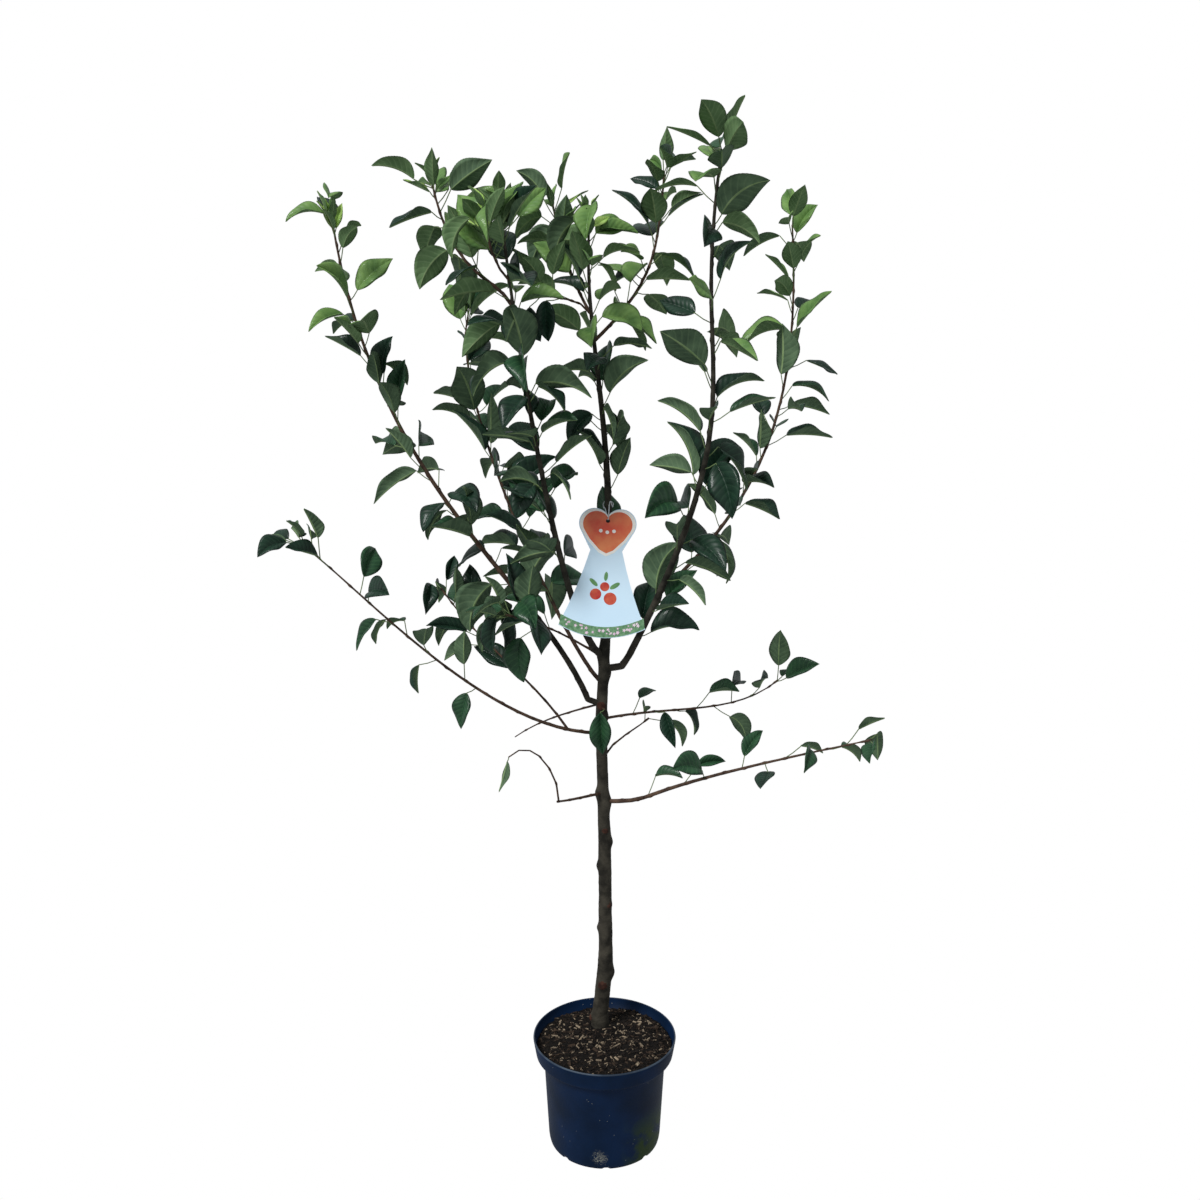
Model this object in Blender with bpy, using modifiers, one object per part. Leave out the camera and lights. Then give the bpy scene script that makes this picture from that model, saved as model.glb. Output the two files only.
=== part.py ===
"""A potted young apple tree: pot, potting mix, trunk, boughs, masses of leaves and a hang tag.

Metres, +Z up. The origin is the centre of the pot's flat underside. +X is the right of the picture and
+Y points away from its viewer. The tree stands a little behind the pot's centre.
"""
import math
import random
from collections import namedtuple

import bmesh
import bpy
import numpy as np
from mathutils import Matrix, Vector

for old in list(bpy.data.objects):
    bpy.data.objects.remove(old, do_unlink=True)

CLEARANCE = 0.0003
MM = 0.001

# The pot, a turned plastic shell whose tall rim band stands out from its body
POT_HEIGHT = 0.182
POT_TOP_RADIUS = 0.116
POT_BODY_RADIUS = 0.099
POT_BASE_RADIUS = 0.090
POT_WALL = 0.002
RIM_HEIGHT = 0.030
RIM_DRAFT = 0.005
RIM_LIP = 0.0012
FOOT_EDGE = 0.002
FOOT_HEIGHT = 0.006
SOIL_TOP = 0.170
SOIL_EDGE_DROP = 0.005
SOIL_FLAT_RADIUS = 0.084
SOIL_SLOPE_RADIUS = 0.100
SOIL_SLOPE_DROP = 0.002
ROUND_STEPS = 32

# The trunk: height, sideways lean, depth and radius, from the flat cut in the soil to the fork
Station = namedtuple("Station", "height x y radius")
TRUNK = (
    Station(SOIL_TOP + CLEARANCE, -0.007, 0.043, 0.0155),
    Station(0.196, -0.005, 0.043, 0.0132),
    Station(0.245, -0.002, 0.042, 0.0126),
    Station(0.272, 0.001, 0.041, 0.0130),
    Station(0.310, 0.002, 0.040, 0.0114),
    Station(0.400, 0.001, 0.0385, 0.0106),
    Station(0.500, 0.000, 0.037, 0.0104),
    Station(0.600, -0.003, 0.0355, 0.0090),
    Station(0.700, -0.006, 0.034, 0.0090),
    Station(0.770, -0.0025, 0.0325, 0.0084),
    Station(0.834, 0.001, 0.031, 0.0078),
)

# Each shoot rises from its foot to its tip. on, at: what it grows from, and at which height (trunk) or
# share of length (another shoot). rise, pull: the slope in degrees and the stiffness at foot and tip.
# bare: the share without leaves. radius: at foot and tip. leaf, gap: length of a leaf and the space
# between buds. ending, count, small: habit, number and length of the leaves at the tip. stub: a short
# first reach before the shoot turns. mass: the foliage it belongs to.
Shoot = namedtuple(
    "Shoot", "on at tip rise pull bare radius leaf gap seed mass ending count small stub",
    defaults=(0, 0, 0, None, "young", 8, 0.042, None))
SHOOTS = {
    "front_right": Shoot("trunk", 0.787, (0.153, -0.120, 1.529), (56, 79), (2.1, 1.3), 0.10,
                         (0.0056, 0.0019), 0.078, 0.025, 2977, "front_right", "upright", 5, 0.074,
                         (0.031, -0.004, 0.006)),
    "back_right": Shoot("trunk", 0.833, (0.294, 0.170, 1.469), (33, 96), (1.2, 1.45), 0.20,
                        (0.0034, 0.0014), 0.072, 0.025, 2245, "back_right", "upright", 6, 0.066),
    "left": Shoot("trunk", 0.730, (-0.402, 0.050, 1.468), (69, 83), (0.75, 1.5), 0.24,
                  (0.0048, 0.0015), 0.074, 0.026, 5265, "left", "young", 8, 0.042,
                  (-0.020, -0.004, 0.004)),
    "low_right": Shoot("trunk", 0.568, (0.383, -0.130, 0.723), (8, 19), (0.8, 3.0), 0.16,
                       (0.0036, 0.0010), 0.058, 0.033, 5031, "low_right", "mature", 3, 0.056),
    "right_spray": Shoot("trunk", 0.705, (0.282, 0.100, 0.751), (8, 37), (1.25, 0.95), 0.14,
                         (0.0022, 0.0010), 0.058, 0.033, 9827, "right_spray", "mature", 2, 0.056),
    "long_left": Shoot("trunk", 0.682, (-0.430, -0.110, 1.005), (5, 39), (1.0, 0.55), 0.34,
                       (0.0028, 0.0010), 0.056, 0.038, 2347, "long_left", "mature", 3, 0.052),
    "short_left": Shoot("long_left", 0.10, (-0.262, 0.100, 0.903), (52, 52), (1.05, 1.15), 0.35,
                        (0.0020, 0.0010), 0.064, 0.026, 7142, "short_left", "mature", 3, 0.058),
    "front_left": Shoot("trunk", 0.804, (-0.142, -0.110, 1.467), (27, 82), (0.43, 0.86), 0.20,
                        (0.0056, 0.0016), 0.074, 0.022, 3256, "front_left", "young", 9),
    "front_left_side": Shoot("front_left", 0.80, (-0.240, -0.050, 1.502), (61, 78), (0.75, 2.0), 0.0,
                             (0.0026, 0.0014), 0.064, 0.022, 2698, "front_left", "young", 7),
    "front_left_middle": Shoot("front_left", 0.85, (-0.158, -0.150, 1.449), (20, 95), (1.0, 1.0), 0.0,
                               (0.0018, 0.0012), 0.058, 0.020, 5122, "front_left", "young", 9),
    "leader": Shoot("trunk", 0.834, (-0.022, 0.0, 1.462), (96, 97), (1.7, 0.9), 0.22,
                    (0.0074, 0.0015), 0.072, 0.026, 2093, "leader", "young", 9),
    "leader_left": Shoot("leader", 0.78, (-0.079, 0.090, 1.495), (43, 75), (1.0, 1.0), 0.0,
                         (0.0024, 0.0013), 0.064, 0.022, 9313, "leader", "young", 8),
    "leader_right": Shoot("leader", 0.72, (0.090, 0.120, 1.540), (34, 84), (1.6, 1.25), 0.0,
                          (0.0028, 0.0014), 0.064, 0.025, 7121, "leader", "upright", 6, 0.046),
    "leader_spur": Shoot("leader", 0.78, (-0.091, -0.060, 1.349), (54, 14), (1.0, 1.0), 0.3,
                         (0.0016, 0.0010), 0.050, 0.020, 6576, "leader", "mature", 3, 0.046),
    "back_left": Shoot("trunk", 0.762, (-0.226, 0.250, 1.335), (24, 114), (0.4, 0.65), 0.22,
                       (0.0034, 0.0013), 0.082, 0.022, 285, "back_left", "upright", 6, 0.076),
    "fork_twig": Shoot("trunk", 0.804, (-0.149, -0.030, 0.886), (35, 14), (1.0, 1.0), 0.50,
                       (0.0020, 0.0010), 0.068, 0.020, 1290, "fork_twig", "mature", 4, 0.066),
    "right_twig": Shoot("trunk", 0.637, (0.071, 0.070, 0.696), (65, 35), (1.0, 1.0), 0.80,
                        (0.0018, 0.0010), 0.045, 0.020, 245, "right_twig", "mature", 2, 0.044),
    "trunk_spur": Shoot("trunk", 0.722, (0.000, 0.010, 0.728), (40, 20), (1.0, 1.0), 0.0,
                        (0.0016, 0.0010), 0.0, 0.0, 5330, "trunk_spur", "hanging", 1, 0.062),
    "left_stub": Shoot("trunk", 0.582, (-0.072, -0.060, 0.603), (10, 13), (1.0, 1.0), 1.0,
                       (0.0024, 0.0016)),
    "withered": Shoot("left_stub", 0.97, (-0.141, -0.110, 0.690), (95, -37), (1.0, 1.25), 0.6,
                      (0.0015, 0.0010), 0.0, 0.0, 8753, "withered", "hanging", 1, 0.044),
    "bare_twig": Shoot("trunk", 0.731, (-0.146, 0.090, 0.658), (-20, -38), (1.0, 1.0), 1.0,
                       (0.0018, 0.0009)),
}

# How a leaf sits, by habit. Pairs are ranges; angles in degrees, petiole in metres, the rest in shares
# of the leaf's length. angle: off the stem. lift: how far it turns up. droop: how far the blade hangs
# below its petiole. fall: the share of buds without a leaf.
Habit = namedtuple("Habit", "angle lift petiole droop swing curl roll size ratio fold turn fall")
HABITS = {
    "mature": Habit((28, 80), 0.35, (0.018, 0.036), (-20, 75), 35, (5, 65), 55, (0.76, 1.18),
                    (0.45, 0.62), (6, 48), 80, 0.07),
    "upright": Habit((10, 55), 0.35, (0.014, 0.030), (-25, 35), 35, (0, 50), 60, (0.72, 1.18),
                     (0.42, 0.60), (8, 50), 80, 0.0),
    "young": Habit((8, 50), 0.2, (0.005, 0.016), (-20, 25), 30, (-10, 35), 60, (0.65, 1.25),
                   (0.32, 0.48), (12, 50), 70, 0.0),
    "hanging": Habit((60, 90), -0.3, (0.008, 0.020), (45, 95), 60, (0, 25), 90, (0.85, 1.15),
                     (0.30, 0.55), (10, 60), 360, 0.0),
}
LEAF_TURN = 144
PATH_STEPS = 24
LEAF_DRAWS = 12
BUD_JITTER = 0.35
FIRST_BUD = 0.012
FORK_BARE = 0.03
TIP_BARE = 0.01
SHORTER_FROM = 0.75
YOUNG_GROWTH = (0.75, 0.45)
TIP_STEP = {"mature": 0.006}
TIP_STEP_YOUNG = 0.005
LEAF_STATIONS = (0.03, 0.2, 0.4, 0.6, 0.8, 0.98)
LEAF_WIDEST = 0.42
LEAF_FULLNESS = 1.18
LEAF_THICKNESS = 0.0009
PETIOLE_RADIUS = 0.0009
LIMB_ROOM = 0.005
OWN_ROOM = 0.003
YOUNG_ROOM = 0.0015
MASS_ROOM = 0.009
PROBE_STEP = 0.007
TRUNK_PROBES = 95
TRUNK_PROBE_TOP = 0.84
TRUNK_PROBE_RADIUS = 0.010
NEIGHBOURHOOD = 0.12
FILL_SHARE = 0.5
FULL_FROM = 0.85
FULL_MASSES = ("front_left", "leader", "fork_twig")

# The hang tag, a heart above a flared skirt, and its loop
TAG_HEM = Vector((-0.0059, -0.055, 0.856))
TAG_HOLE = Vector((0.0047, 0.018, 1.0208))
TAG_ROOM = 0.008
TAG_THICKNESS = 0.0010
HOLE_RADIUS = 0.0032
LOBE_RADIUS = 0.0235
LOBE_OFFSET = 0.0200
WAIST_HALF = 0.0240
WAIST_HEIGHT = 0.134
HEM_HALF = 0.0645
HEM_RISE = 0.0165
LOBE_DROP = 0.004
NOTCH_SHARE = 0.45
SKIRT_HOLLOW = 0.003
LOBE_TURNS = range(142, -31, -19)
LOOP_RADIUS = 0.0008
LOOP_SEAT = 0.0005
LOOP_RISE = 0.07
LOOP_SIDE = 0.0066
LOOP_BACK = 0.0070
# Knots of the loop on its way up and down, as offsets from the hole
LOOP_UP = (Vector((0.001, -0.0085, 0.010)), Vector((0.003, -0.0045, 0.030)))
LOOP_DOWN = (Vector((-0.006, 0.0130, 0.020)), Vector((-0.001, 0.0072, 0.005)))


def material(name, colour, roughness):
    mat = bpy.data.materials.new(name)
    mat.use_nodes = True
    shader = mat.node_tree.nodes["Principled BSDF"]
    shader.inputs["Base Color"].default_value = (*colour, 1.0)
    shader.inputs["Roughness"].default_value = roughness
    return mat


BARK = material("bark", (0.085, 0.068, 0.052), 0.85)
LEAF = material("leaf", (0.035, 0.085, 0.045), 0.45)
PLASTIC = material("pot_plastic", (0.018, 0.022, 0.032), 0.5)
SOIL = material("potting_mix", (0.030, 0.020, 0.014), 0.95)
CARD = material("tag_card", (0.55, 0.68, 0.74), 0.3)
CORD = material("loop_cord", (0.70, 0.72, 0.74), 0.5)

tree = bpy.data.collections.new("potted_apple_tree")
bpy.context.scene.collection.children.link(tree)
cutters = bpy.data.collections.new("cutters")
bpy.context.scene.collection.children.link(cutters)


def add(name, data, mat, collection=None):
    obj = bpy.data.objects.new(name, data)
    data.materials.append(mat)
    (collection or tree).objects.link(obj)
    return obj


def as_mesh(obj):
    """Turn an object into a mesh object with its modifiers applied and its caps welded."""
    bpy.context.view_layer.update()
    evaluated = obj.evaluated_get(bpy.context.evaluated_depsgraph_get())
    mesh = bpy.data.meshes.new_from_object(evaluated)
    work = bmesh.new()
    work.from_mesh(mesh)
    bmesh.ops.remove_doubles(work, verts=work.verts, dist=2e-6)
    bmesh.ops.recalc_face_normals(work, faces=work.faces)
    work.to_mesh(mesh)
    work.free()
    name = obj.name
    place = obj.matrix_world.copy()
    collection = obj.users_collection[0]
    bpy.data.objects.remove(obj, do_unlink=True)
    new = bpy.data.objects.new(name, mesh)
    new.matrix_world = place
    collection.objects.link(new)
    return new


def keep_largest(obj):
    """Drop loose scraps and sealed hollows: only the largest closed piece stays."""
    work = bmesh.new()
    work.from_mesh(obj.data)
    bmesh.ops.dissolve_degenerate(work, edges=work.edges, dist=1e-6)
    left = set(work.faces)
    groups = []
    while left:
        stack = [left.pop()]
        group = set(stack)
        while stack:
            face = stack.pop()
            for edge in face.edges:
                for other in edge.link_faces:
                    if other in left and len(edge.link_faces) == 2:
                        left.remove(other)
                        group.add(other)
                        stack.append(other)
        groups.append(group)
    groups.sort(key=lambda g: sum(f.calc_area() for f in g))
    for group in groups[:-1]:
        bmesh.ops.delete(work, geom=list(group), context="FACES")
    bmesh.ops.triangulate(work, faces=work.faces)
    work.to_mesh(obj.data)
    work.free()


# Growth: paths of the shoots, then buds and leaves along them

def trunk_at(height):
    heights = [s.height for s in TRUNK]
    return np.array([np.interp(height, heights, [s.x for s in TRUNK]),
                     np.interp(height, heights, [s.y for s in TRUNK]), height])


def bend(foot, tip, rise, pull):
    """A cubic arc from foot to tip that leaves and arrives at the given slopes."""
    chord = tip - foot
    length = np.linalg.norm(chord)
    heading = math.atan2(chord[1], chord[0])

    def slope(degrees, strength):
        angle = math.radians(degrees)
        flat = math.cos(angle)
        way = np.array([flat * math.cos(heading), flat * math.sin(heading), math.sin(angle)])
        return way * length * strength

    leave = slope(rise[0], pull[0])
    arrive = slope(rise[1], pull[1])
    t = np.linspace(0, 1, PATH_STEPS + 1)[:, None]
    return ((2 * t**3 - 3 * t**2 + 1) * foot + (t**3 - 2 * t**2 + t) * leave
            + (3 * t**2 - 2 * t**3) * tip + (t**3 - t**2) * arrive)


def run(path):
    steps = np.linalg.norm(np.diff(path, axis=0), axis=1)
    return np.concatenate([[0], np.cumsum(steps)])


def at(path, length):
    """The point at a length along a path, and the direction there."""
    lengths = run(path)
    reach = 0.004

    def point(x):
        x = min(max(x, 0), lengths[-1])
        return np.array([np.interp(x, lengths, path[:, i]) for i in range(3)])

    length = min(max(length, 0), lengths[-1])
    way = point(length + reach) - point(length - reach)
    return point(length), way / np.linalg.norm(way)


def shoot_paths():
    paths = {}
    for name, shoot in SHOOTS.items():
        if shoot.on == "trunk":
            foot = trunk_at(shoot.at)
        else:
            parent = paths[shoot.on]
            foot = at(parent, shoot.at * run(parent)[-1])[0]
        start = foot + np.array(shoot.stub) if shoot.stub else foot
        path = bend(start, np.array(shoot.tip), shoot.rise, shoot.pull)
        paths[name] = np.vstack([foot, path]) if shoot.stub else path
    return paths


PATHS = shoot_paths()


def stem_radius(name, length):
    foot, tip = SHOOTS[name].radius
    return foot + (tip - foot) * length / run(PATHS[name])[-1]


def mix(span, share):
    return span[0] + (span[1] - span[0]) * share


def unit(vector):
    return vector / np.linalg.norm(vector)


def half_width(u):
    return math.sin(math.pi * u**0.82)**0.85 * (1 - 0.30 * u**3)


class Leaf:
    """One leaf from its twelve draws: the petiole's end and the blade's midrib and cross directions."""

    def __init__(self, root, way, phase, draw, base, habit, kind):
        self.root = root
        self.kind = kind
        side = unit(np.cross(way, (0, 0, 1)))
        other = np.cross(way, side)
        phase += math.radians(habit.turn) * (draw[1] - 0.5)
        angle = math.radians(mix(habit.angle, draw[2]))
        out = (side * math.cos(phase) + other * math.sin(phase)) * math.sin(angle)
        out = unit(way * math.cos(angle) + out + np.array([0, 0, habit.lift]))
        self.out = out
        self.end = root + out * mix(habit.petiole, draw[3])
        self.heading = math.atan2(out[1], out[0]) + math.radians(habit.swing) * 2 * (draw[5] - 0.5)
        self.slope = math.asin(max(-1, min(1, out[2]))) - math.radians(mix(habit.droop, draw[4]))
        self.length = base * mix(habit.size, draw[8])
        self.half = self.length * mix(habit.ratio, draw[9]) / 2
        self.curl = math.radians(mix(habit.curl, draw[6]))
        self.roll = math.radians(habit.roll) * 2 * (draw[7] - 0.5)
        self.fold = math.radians(mix(habit.fold, draw[10]))

    def ribs(self, stations):
        """At each station: the midrib's point, the way across and the way up from the blade."""
        c, s = math.cos(self.heading), math.sin(self.heading)
        point = self.end
        before = 0.0
        rows = []
        for u in stations:
            mean = self.slope - self.curl * (u + before) / 2
            point = point + np.array([math.cos(mean) * c, math.cos(mean) * s, math.sin(mean)]) * (
                self.length * (u - before))
            before = u
            here = self.slope - self.curl * u
            up = np.array([-math.sin(here) * c, -math.sin(here) * s, math.cos(here)])
            across = np.array([s, -c, 0.0])
            cr, sr = math.cos(self.roll), math.sin(self.roll)
            rows.append((point, across * cr + up * sr, up * cr - across * sr))
        return rows

    def edge(self, row, width, side):
        point, across, up = row
        return point + across * side * width * math.cos(self.fold) + up * width * math.sin(self.fold)

    def probe(self):
        """Points over the blade and the petiole's end, to keep the leaf clear of everything else."""
        points = [self.end]
        for u, row in zip(LEAF_STATIONS, self.ribs(LEAF_STATIONS)):
            width = self.half * half_width(u)
            points += [self.edge(row, width, -1), row[0], self.edge(row, width, 1)]
        return np.array(points)


def buds(name):
    """The places of a shoot's leaves, in order: habit, length along the stem and the leaf's length."""
    shoot = SHOOTS[name]
    total = run(PATHS[name])[-1]
    places = []
    if shoot.leaf:
        start = (shoot.bare * total if shoot.bare > 0 else FORK_BARE) + FIRST_BUD
        while start <= total - TIP_BARE:
            places.append(("mature", start, shoot.leaf * (1 - max(0, start / total - SHORTER_FROM))))
            start += shoot.gap
    step = TIP_STEP.get(shoot.ending, TIP_STEP_YOUNG)
    for j in range(shoot.count):
        grown = YOUNG_GROWTH[0] + YOUNG_GROWTH[1] * j / max(1, shoot.count - 1)
        if shoot.ending != "young":
            grown = 1.0
        places.append((shoot.ending, total - MM - step * j, shoot.small * grown))
    return places


class Crown:
    """All the leaves that keep clear of the limbs and of each other."""

    def __init__(self):
        points, radii, names = [], [], []
        for name in SHOOTS:
            total = run(PATHS[name])[-1]
            for length in np.linspace(0, total, max(4, int(total / PROBE_STEP))):
                points.append(at(PATHS[name], length)[0])
                radii.append(stem_radius(name, length))
                names.append(name)
        for height in np.linspace(SOIL_TOP, TRUNK_PROBE_TOP, TRUNK_PROBES):
            points.append(trunk_at(height))
            radii.append(TRUNK_PROBE_RADIUS)
            names.append("trunk")
        up = np.array(TAG_HOLE) - np.array(TAG_HEM)
        self.tag_height = np.linalg.norm(up) + LOBE_RADIUS
        self.tag_up = unit(up)
        self.tag_side = unit(np.array([1.0, 0, 0]) - self.tag_up * self.tag_up[0])
        self.points = np.array(points)
        self.radii = np.array(radii)
        self.names = np.array(names)
        self.placed = []
        self.leaves = {}

    def hides_tag(self, probe):
        """The tag hangs free: no leaf touches it or comes between it and the viewer."""
        place = probe - np.array(TAG_HEM)
        along = place @ self.tag_up
        aside = np.abs(place @ self.tag_side)
        ahead = place @ np.cross(self.tag_side, self.tag_up)
        half = np.where(along < WAIST_HEIGHT, HEM_HALF + (WAIST_HALF - HEM_HALF) * along / WAIST_HEIGHT,
                        LOBE_OFFSET + LOBE_RADIUS)
        inside = (along > -TAG_ROOM) & (along < self.tag_height + TAG_ROOM) & (aside < half + TAG_ROOM)
        return (inside & (ahead > -TAG_ROOM)).any()

    def clear(self, probe, kind, name, share=1.0):
        gaps = np.linalg.norm(probe[:, None] - self.points[None], axis=2) - self.radii
        own = YOUNG_ROOM if kind in ("young", "upright") else OWN_ROOM
        if (gaps < np.where(self.names == name, own, LIMB_ROOM)).any():
            return False
        if self.hides_tag(probe):
            return False
        centre = probe.mean(axis=0)
        mass = SHOOTS[name].mass
        for other_mass, other_kind, other, middle in self.placed:
            if np.abs(middle - centre).max() > NEIGHBOURHOOD:
                continue
            room = LIMB_ROOM * share if other_mass == mass else MASS_ROOM
            if other_mass == mass and "young" in (kind, other_kind):
                room = YOUNG_ROOM
            if np.linalg.norm(probe[:, None] - other[None], axis=2).min() < room:
                return False
        return True

    def grow(self, name):
        shoot = SHOOTS[name]
        draws = random.Random(shoot.seed)
        phase = draws.random() * 2 * math.pi
        self.leaves[name] = []
        for j, (kind, length, size) in enumerate(buds(name)):
            draw = [draws.random() for _ in range(LEAF_DRAWS)]
            habit = HABITS[kind]
            if kind == "mature" and shoot.leaf:
                length += shoot.gap * BUD_JITTER * (draw[0] - 0.5)
            root, way = at(PATHS[name], length)
            leaf = Leaf(root, way, phase + math.radians(LEAF_TURN) * j, draw, size, habit, kind)
            if draw[11] < habit.fall:
                continue
            probe = leaf.probe()
            if self.clear(probe, kind, name):
                self.placed.append((shoot.mass, kind, probe, probe.mean(axis=0)))
                self.leaves[name].append(leaf)

    def fill(self, name):
        """Leaves of the spurs between the first ones, as far as they find room."""
        shoot = SHOOTS[name]
        draws = random.Random(shoot.seed)
        phase = draws.random() * 2 * math.pi + math.pi / 2
        for j, (kind, length, size) in enumerate(buds(name)):
            draw = [draws.random() for _ in range(LEAF_DRAWS)]
            if kind != "mature" or not shoot.leaf or (j % 2 and shoot.mass not in FULL_MASSES):
                continue
            root, way = at(PATHS[name], length + shoot.gap / 2)
            leaf = Leaf(root, way, phase + math.radians(LEAF_TURN) * j, draw, size, HABITS[kind], kind)
            probe = leaf.probe()
            if self.clear(probe, kind, name, FILL_SHARE):
                self.placed.append((shoot.mass, kind, probe, probe.mean(axis=0)))
                self.leaves[name].append(leaf)


crown = Crown()
for shoot_name, grown_shoot in SHOOTS.items():
    if grown_shoot.mass:
        crown.grow(shoot_name)
for shoot_name, grown_shoot in SHOOTS.items():
    if grown_shoot.mass and grown_shoot.tip[2] > FULL_FROM:
        crown.fill(shoot_name)


# Solids: tubes for the wood, closed lofts for twigs and leaves

def tube(name, path, radii, mat, collection=None, sides=1):
    """A tapered tube along a path, with a radius for each of its points."""
    curve = bpy.data.curves.new(name, "CURVE")
    curve.dimensions = "3D"
    curve.bevel_depth = MM
    curve.bevel_resolution = sides
    curve.use_fill_caps = True
    spline = curve.splines.new("POLY")
    spline.points.add(len(path) - 1)
    for point, place, radius in zip(spline.points, path, radii):
        point.co = (*place, 1)
        point.radius = radius / MM
    return as_mesh(add(name, curve, mat, collection))


def closed_mesh(name, points, faces, mat, collection=None):
    work = bmesh.new()
    verts = [work.verts.new(p) for p in points]
    for face in faces:
        work.faces.new([verts[i] for i in face])
    bmesh.ops.recalc_face_normals(work, faces=work.faces)
    mesh = bpy.data.meshes.new(name)
    work.to_mesh(mesh)
    work.free()
    return add(name, mesh, mat, collection)


def twig(name, path, radii, mat, collection):
    """A three-sided tapered twig: one triangle at each point of its path."""
    side = unit(np.cross(path[1] - path[0], (0.3, 1, 0.1)))
    points, faces = [], []
    for k, (place, radius) in enumerate(zip(path, radii)):
        way = unit(path[min(k + 1, len(path) - 1)] - path[max(k - 1, 0)])
        side = unit(side - way * np.dot(side, way))
        other = np.cross(way, side)
        for corner in range(3):
            turn = corner * 2 * math.pi / 3
            points.append(place + (side * math.cos(turn) + other * math.sin(turn)) * radius)
    for k in range(len(path) - 1):
        for corner in range(3):
            a, b = 3 * k + corner, 3 * k + (corner + 1) % 3
            faces += [(a, b, b + 3), (a, b + 3, a + 3)]
    last = len(points) - 3
    faces += [(2, 1, 0), (last, last + 1, last + 2)]
    return closed_mesh(name, points, faces, mat, collection)


def leaf_solid(name, leaf, collection):
    """A folded blade of eight faces on a three-sided petiole that is rooted in the twig's axis."""
    (neck, across, up), middle, tip = leaf.ribs((0.02, LEAF_WIDEST, 1.0))
    side = unit(np.cross(leaf.out, (0.2, 0.1, 1)))
    raised = np.cross(leaf.out, side)
    size = PETIOLE_RADIUS
    points = [leaf.root + side * size, leaf.root - side * size * 0.5 + raised * size,
              leaf.root - side * size * 0.5 - raised * size]
    points += [neck - across * size + up * size / 2, neck + across * size + up * size / 2, neck - up * size]
    width = leaf.half * half_width(LEAF_WIDEST) * LEAF_FULLNESS
    thick = middle[2] * LEAF_THICKNESS / 2
    points += [leaf.edge(middle, width, -1), middle[0] + thick, leaf.edge(middle, width, 1),
               middle[0] - thick, tip[0]]
    left, top, right, under, point = range(6, 11)
    a, b, c = 3, 4, 5
    blade = [(a, b, top), (a, top, left), (b, right, top), (b, c, right), (c, under, right),
             (c, left, under), (c, a, left), (left, top, point), (top, right, point),
             (right, under, point), (under, left, point)]
    ring = [points[i] for i in range(3)]
    ends = [points[i] for i in (a, b, c)]
    turn = min(range(3), key=lambda k: sum(np.linalg.norm(ring[(i + k) % 3] - ends[i]) for i in range(3)))
    root = [(i + turn) % 3 for i in range(3)]
    walls = []
    for i in range(3):
        p, q = root[i], root[(i + 1) % 3]
        r, s = 3 + i, 3 + (i + 1) % 3
        walls += [(p, q, s), (p, s, r)]
    return closed_mesh(name, points, [(0, 1, 2)] + walls + blade, LEAF, collection)


def stretch(name, start, end, count):
    """Points and radii of a shoot's stem between two lengths."""
    lengths = np.linspace(start, end, count)
    return [at(PATHS[name], x)[0] for x in lengths], [stem_radius(name, x) for x in lengths]


def cut(obj, cutter):
    modifier = obj.modifiers.new("cut", "BOOLEAN")
    modifier.operation = "DIFFERENCE"
    modifier.solver = "EXACT"
    modifier.object = cutter
    cutter.hide_render = True
    cutter.display_type = "WIRE"


# The trunk goes on through the fork as the bare foot of the leader
LEADER_FOOT = 0.012
LEADER_POINTS = 7
BOUGH_POINTS = 9
TRUNK_SIDES = 4
LEADER_BARE = SHOOTS["leader"].bare * run(PATHS["leader"])[-1]
leader_path, leader_radii = stretch("leader", LEADER_FOOT, LEADER_BARE, LEADER_POINTS)
trunk_path = [np.array([s.x, s.y, s.height]) for s in TRUNK] + leader_path
trunk_radii = [s.radius for s in TRUNK] + [min(r, TRUNK[-1].radius) for r in leader_radii]
trunk_path[1][:2] = trunk_path[0][:2]
trunk = tube("trunk", trunk_path, trunk_radii, BARK, sides=TRUNK_SIDES)

# The feet of the limbs stop just short of the wood they grow from
CARRIERS = ("long_left", "left_stub", "front_left")
cut_radii = [r + CLEARANCE for r in trunk_radii]
inflated = {"trunk": tube("cut_trunk", trunk_path, cut_radii, BARK, cutters, TRUNK_SIDES)}
for limb, shoot in SHOOTS.items():
    total = run(PATHS[limb])[-1]
    if not shoot.bare or limb in ("leader", "leader_spur"):
        continue
    bare_end = shoot.bare * total
    points, radii = stretch(limb, 0, bare_end, BOUGH_POINTS)
    bough = tube("bough_" + limb, points, radii, BARK)
    near = [shoot.on] + (["front_left"] if limb in ("fork_twig", "back_left") else [])
    near += ["trunk"] if shoot.on != "trunk" and limb == "short_left" else []
    for neighbour in near:
        cut(bough, inflated[neighbour])
    if limb in CARRIERS:
        inflated[limb] = tube("cut_" + limb, points, [r + CLEARANCE for r in radii], BARK, cutters)
    bough = as_mesh(bough)
    keep_largest(bough)

# Each mass of leaves: a stem that goes on from its bough, its side shoots and their leaves, in one piece
STEM_STEP = 0.055
STEM_FULLNESS = 1.15
masses = {}
for limb, shoot in SHOOTS.items():
    if shoot.mass:
        masses.setdefault(shoot.mass, []).append(limb)

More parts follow.
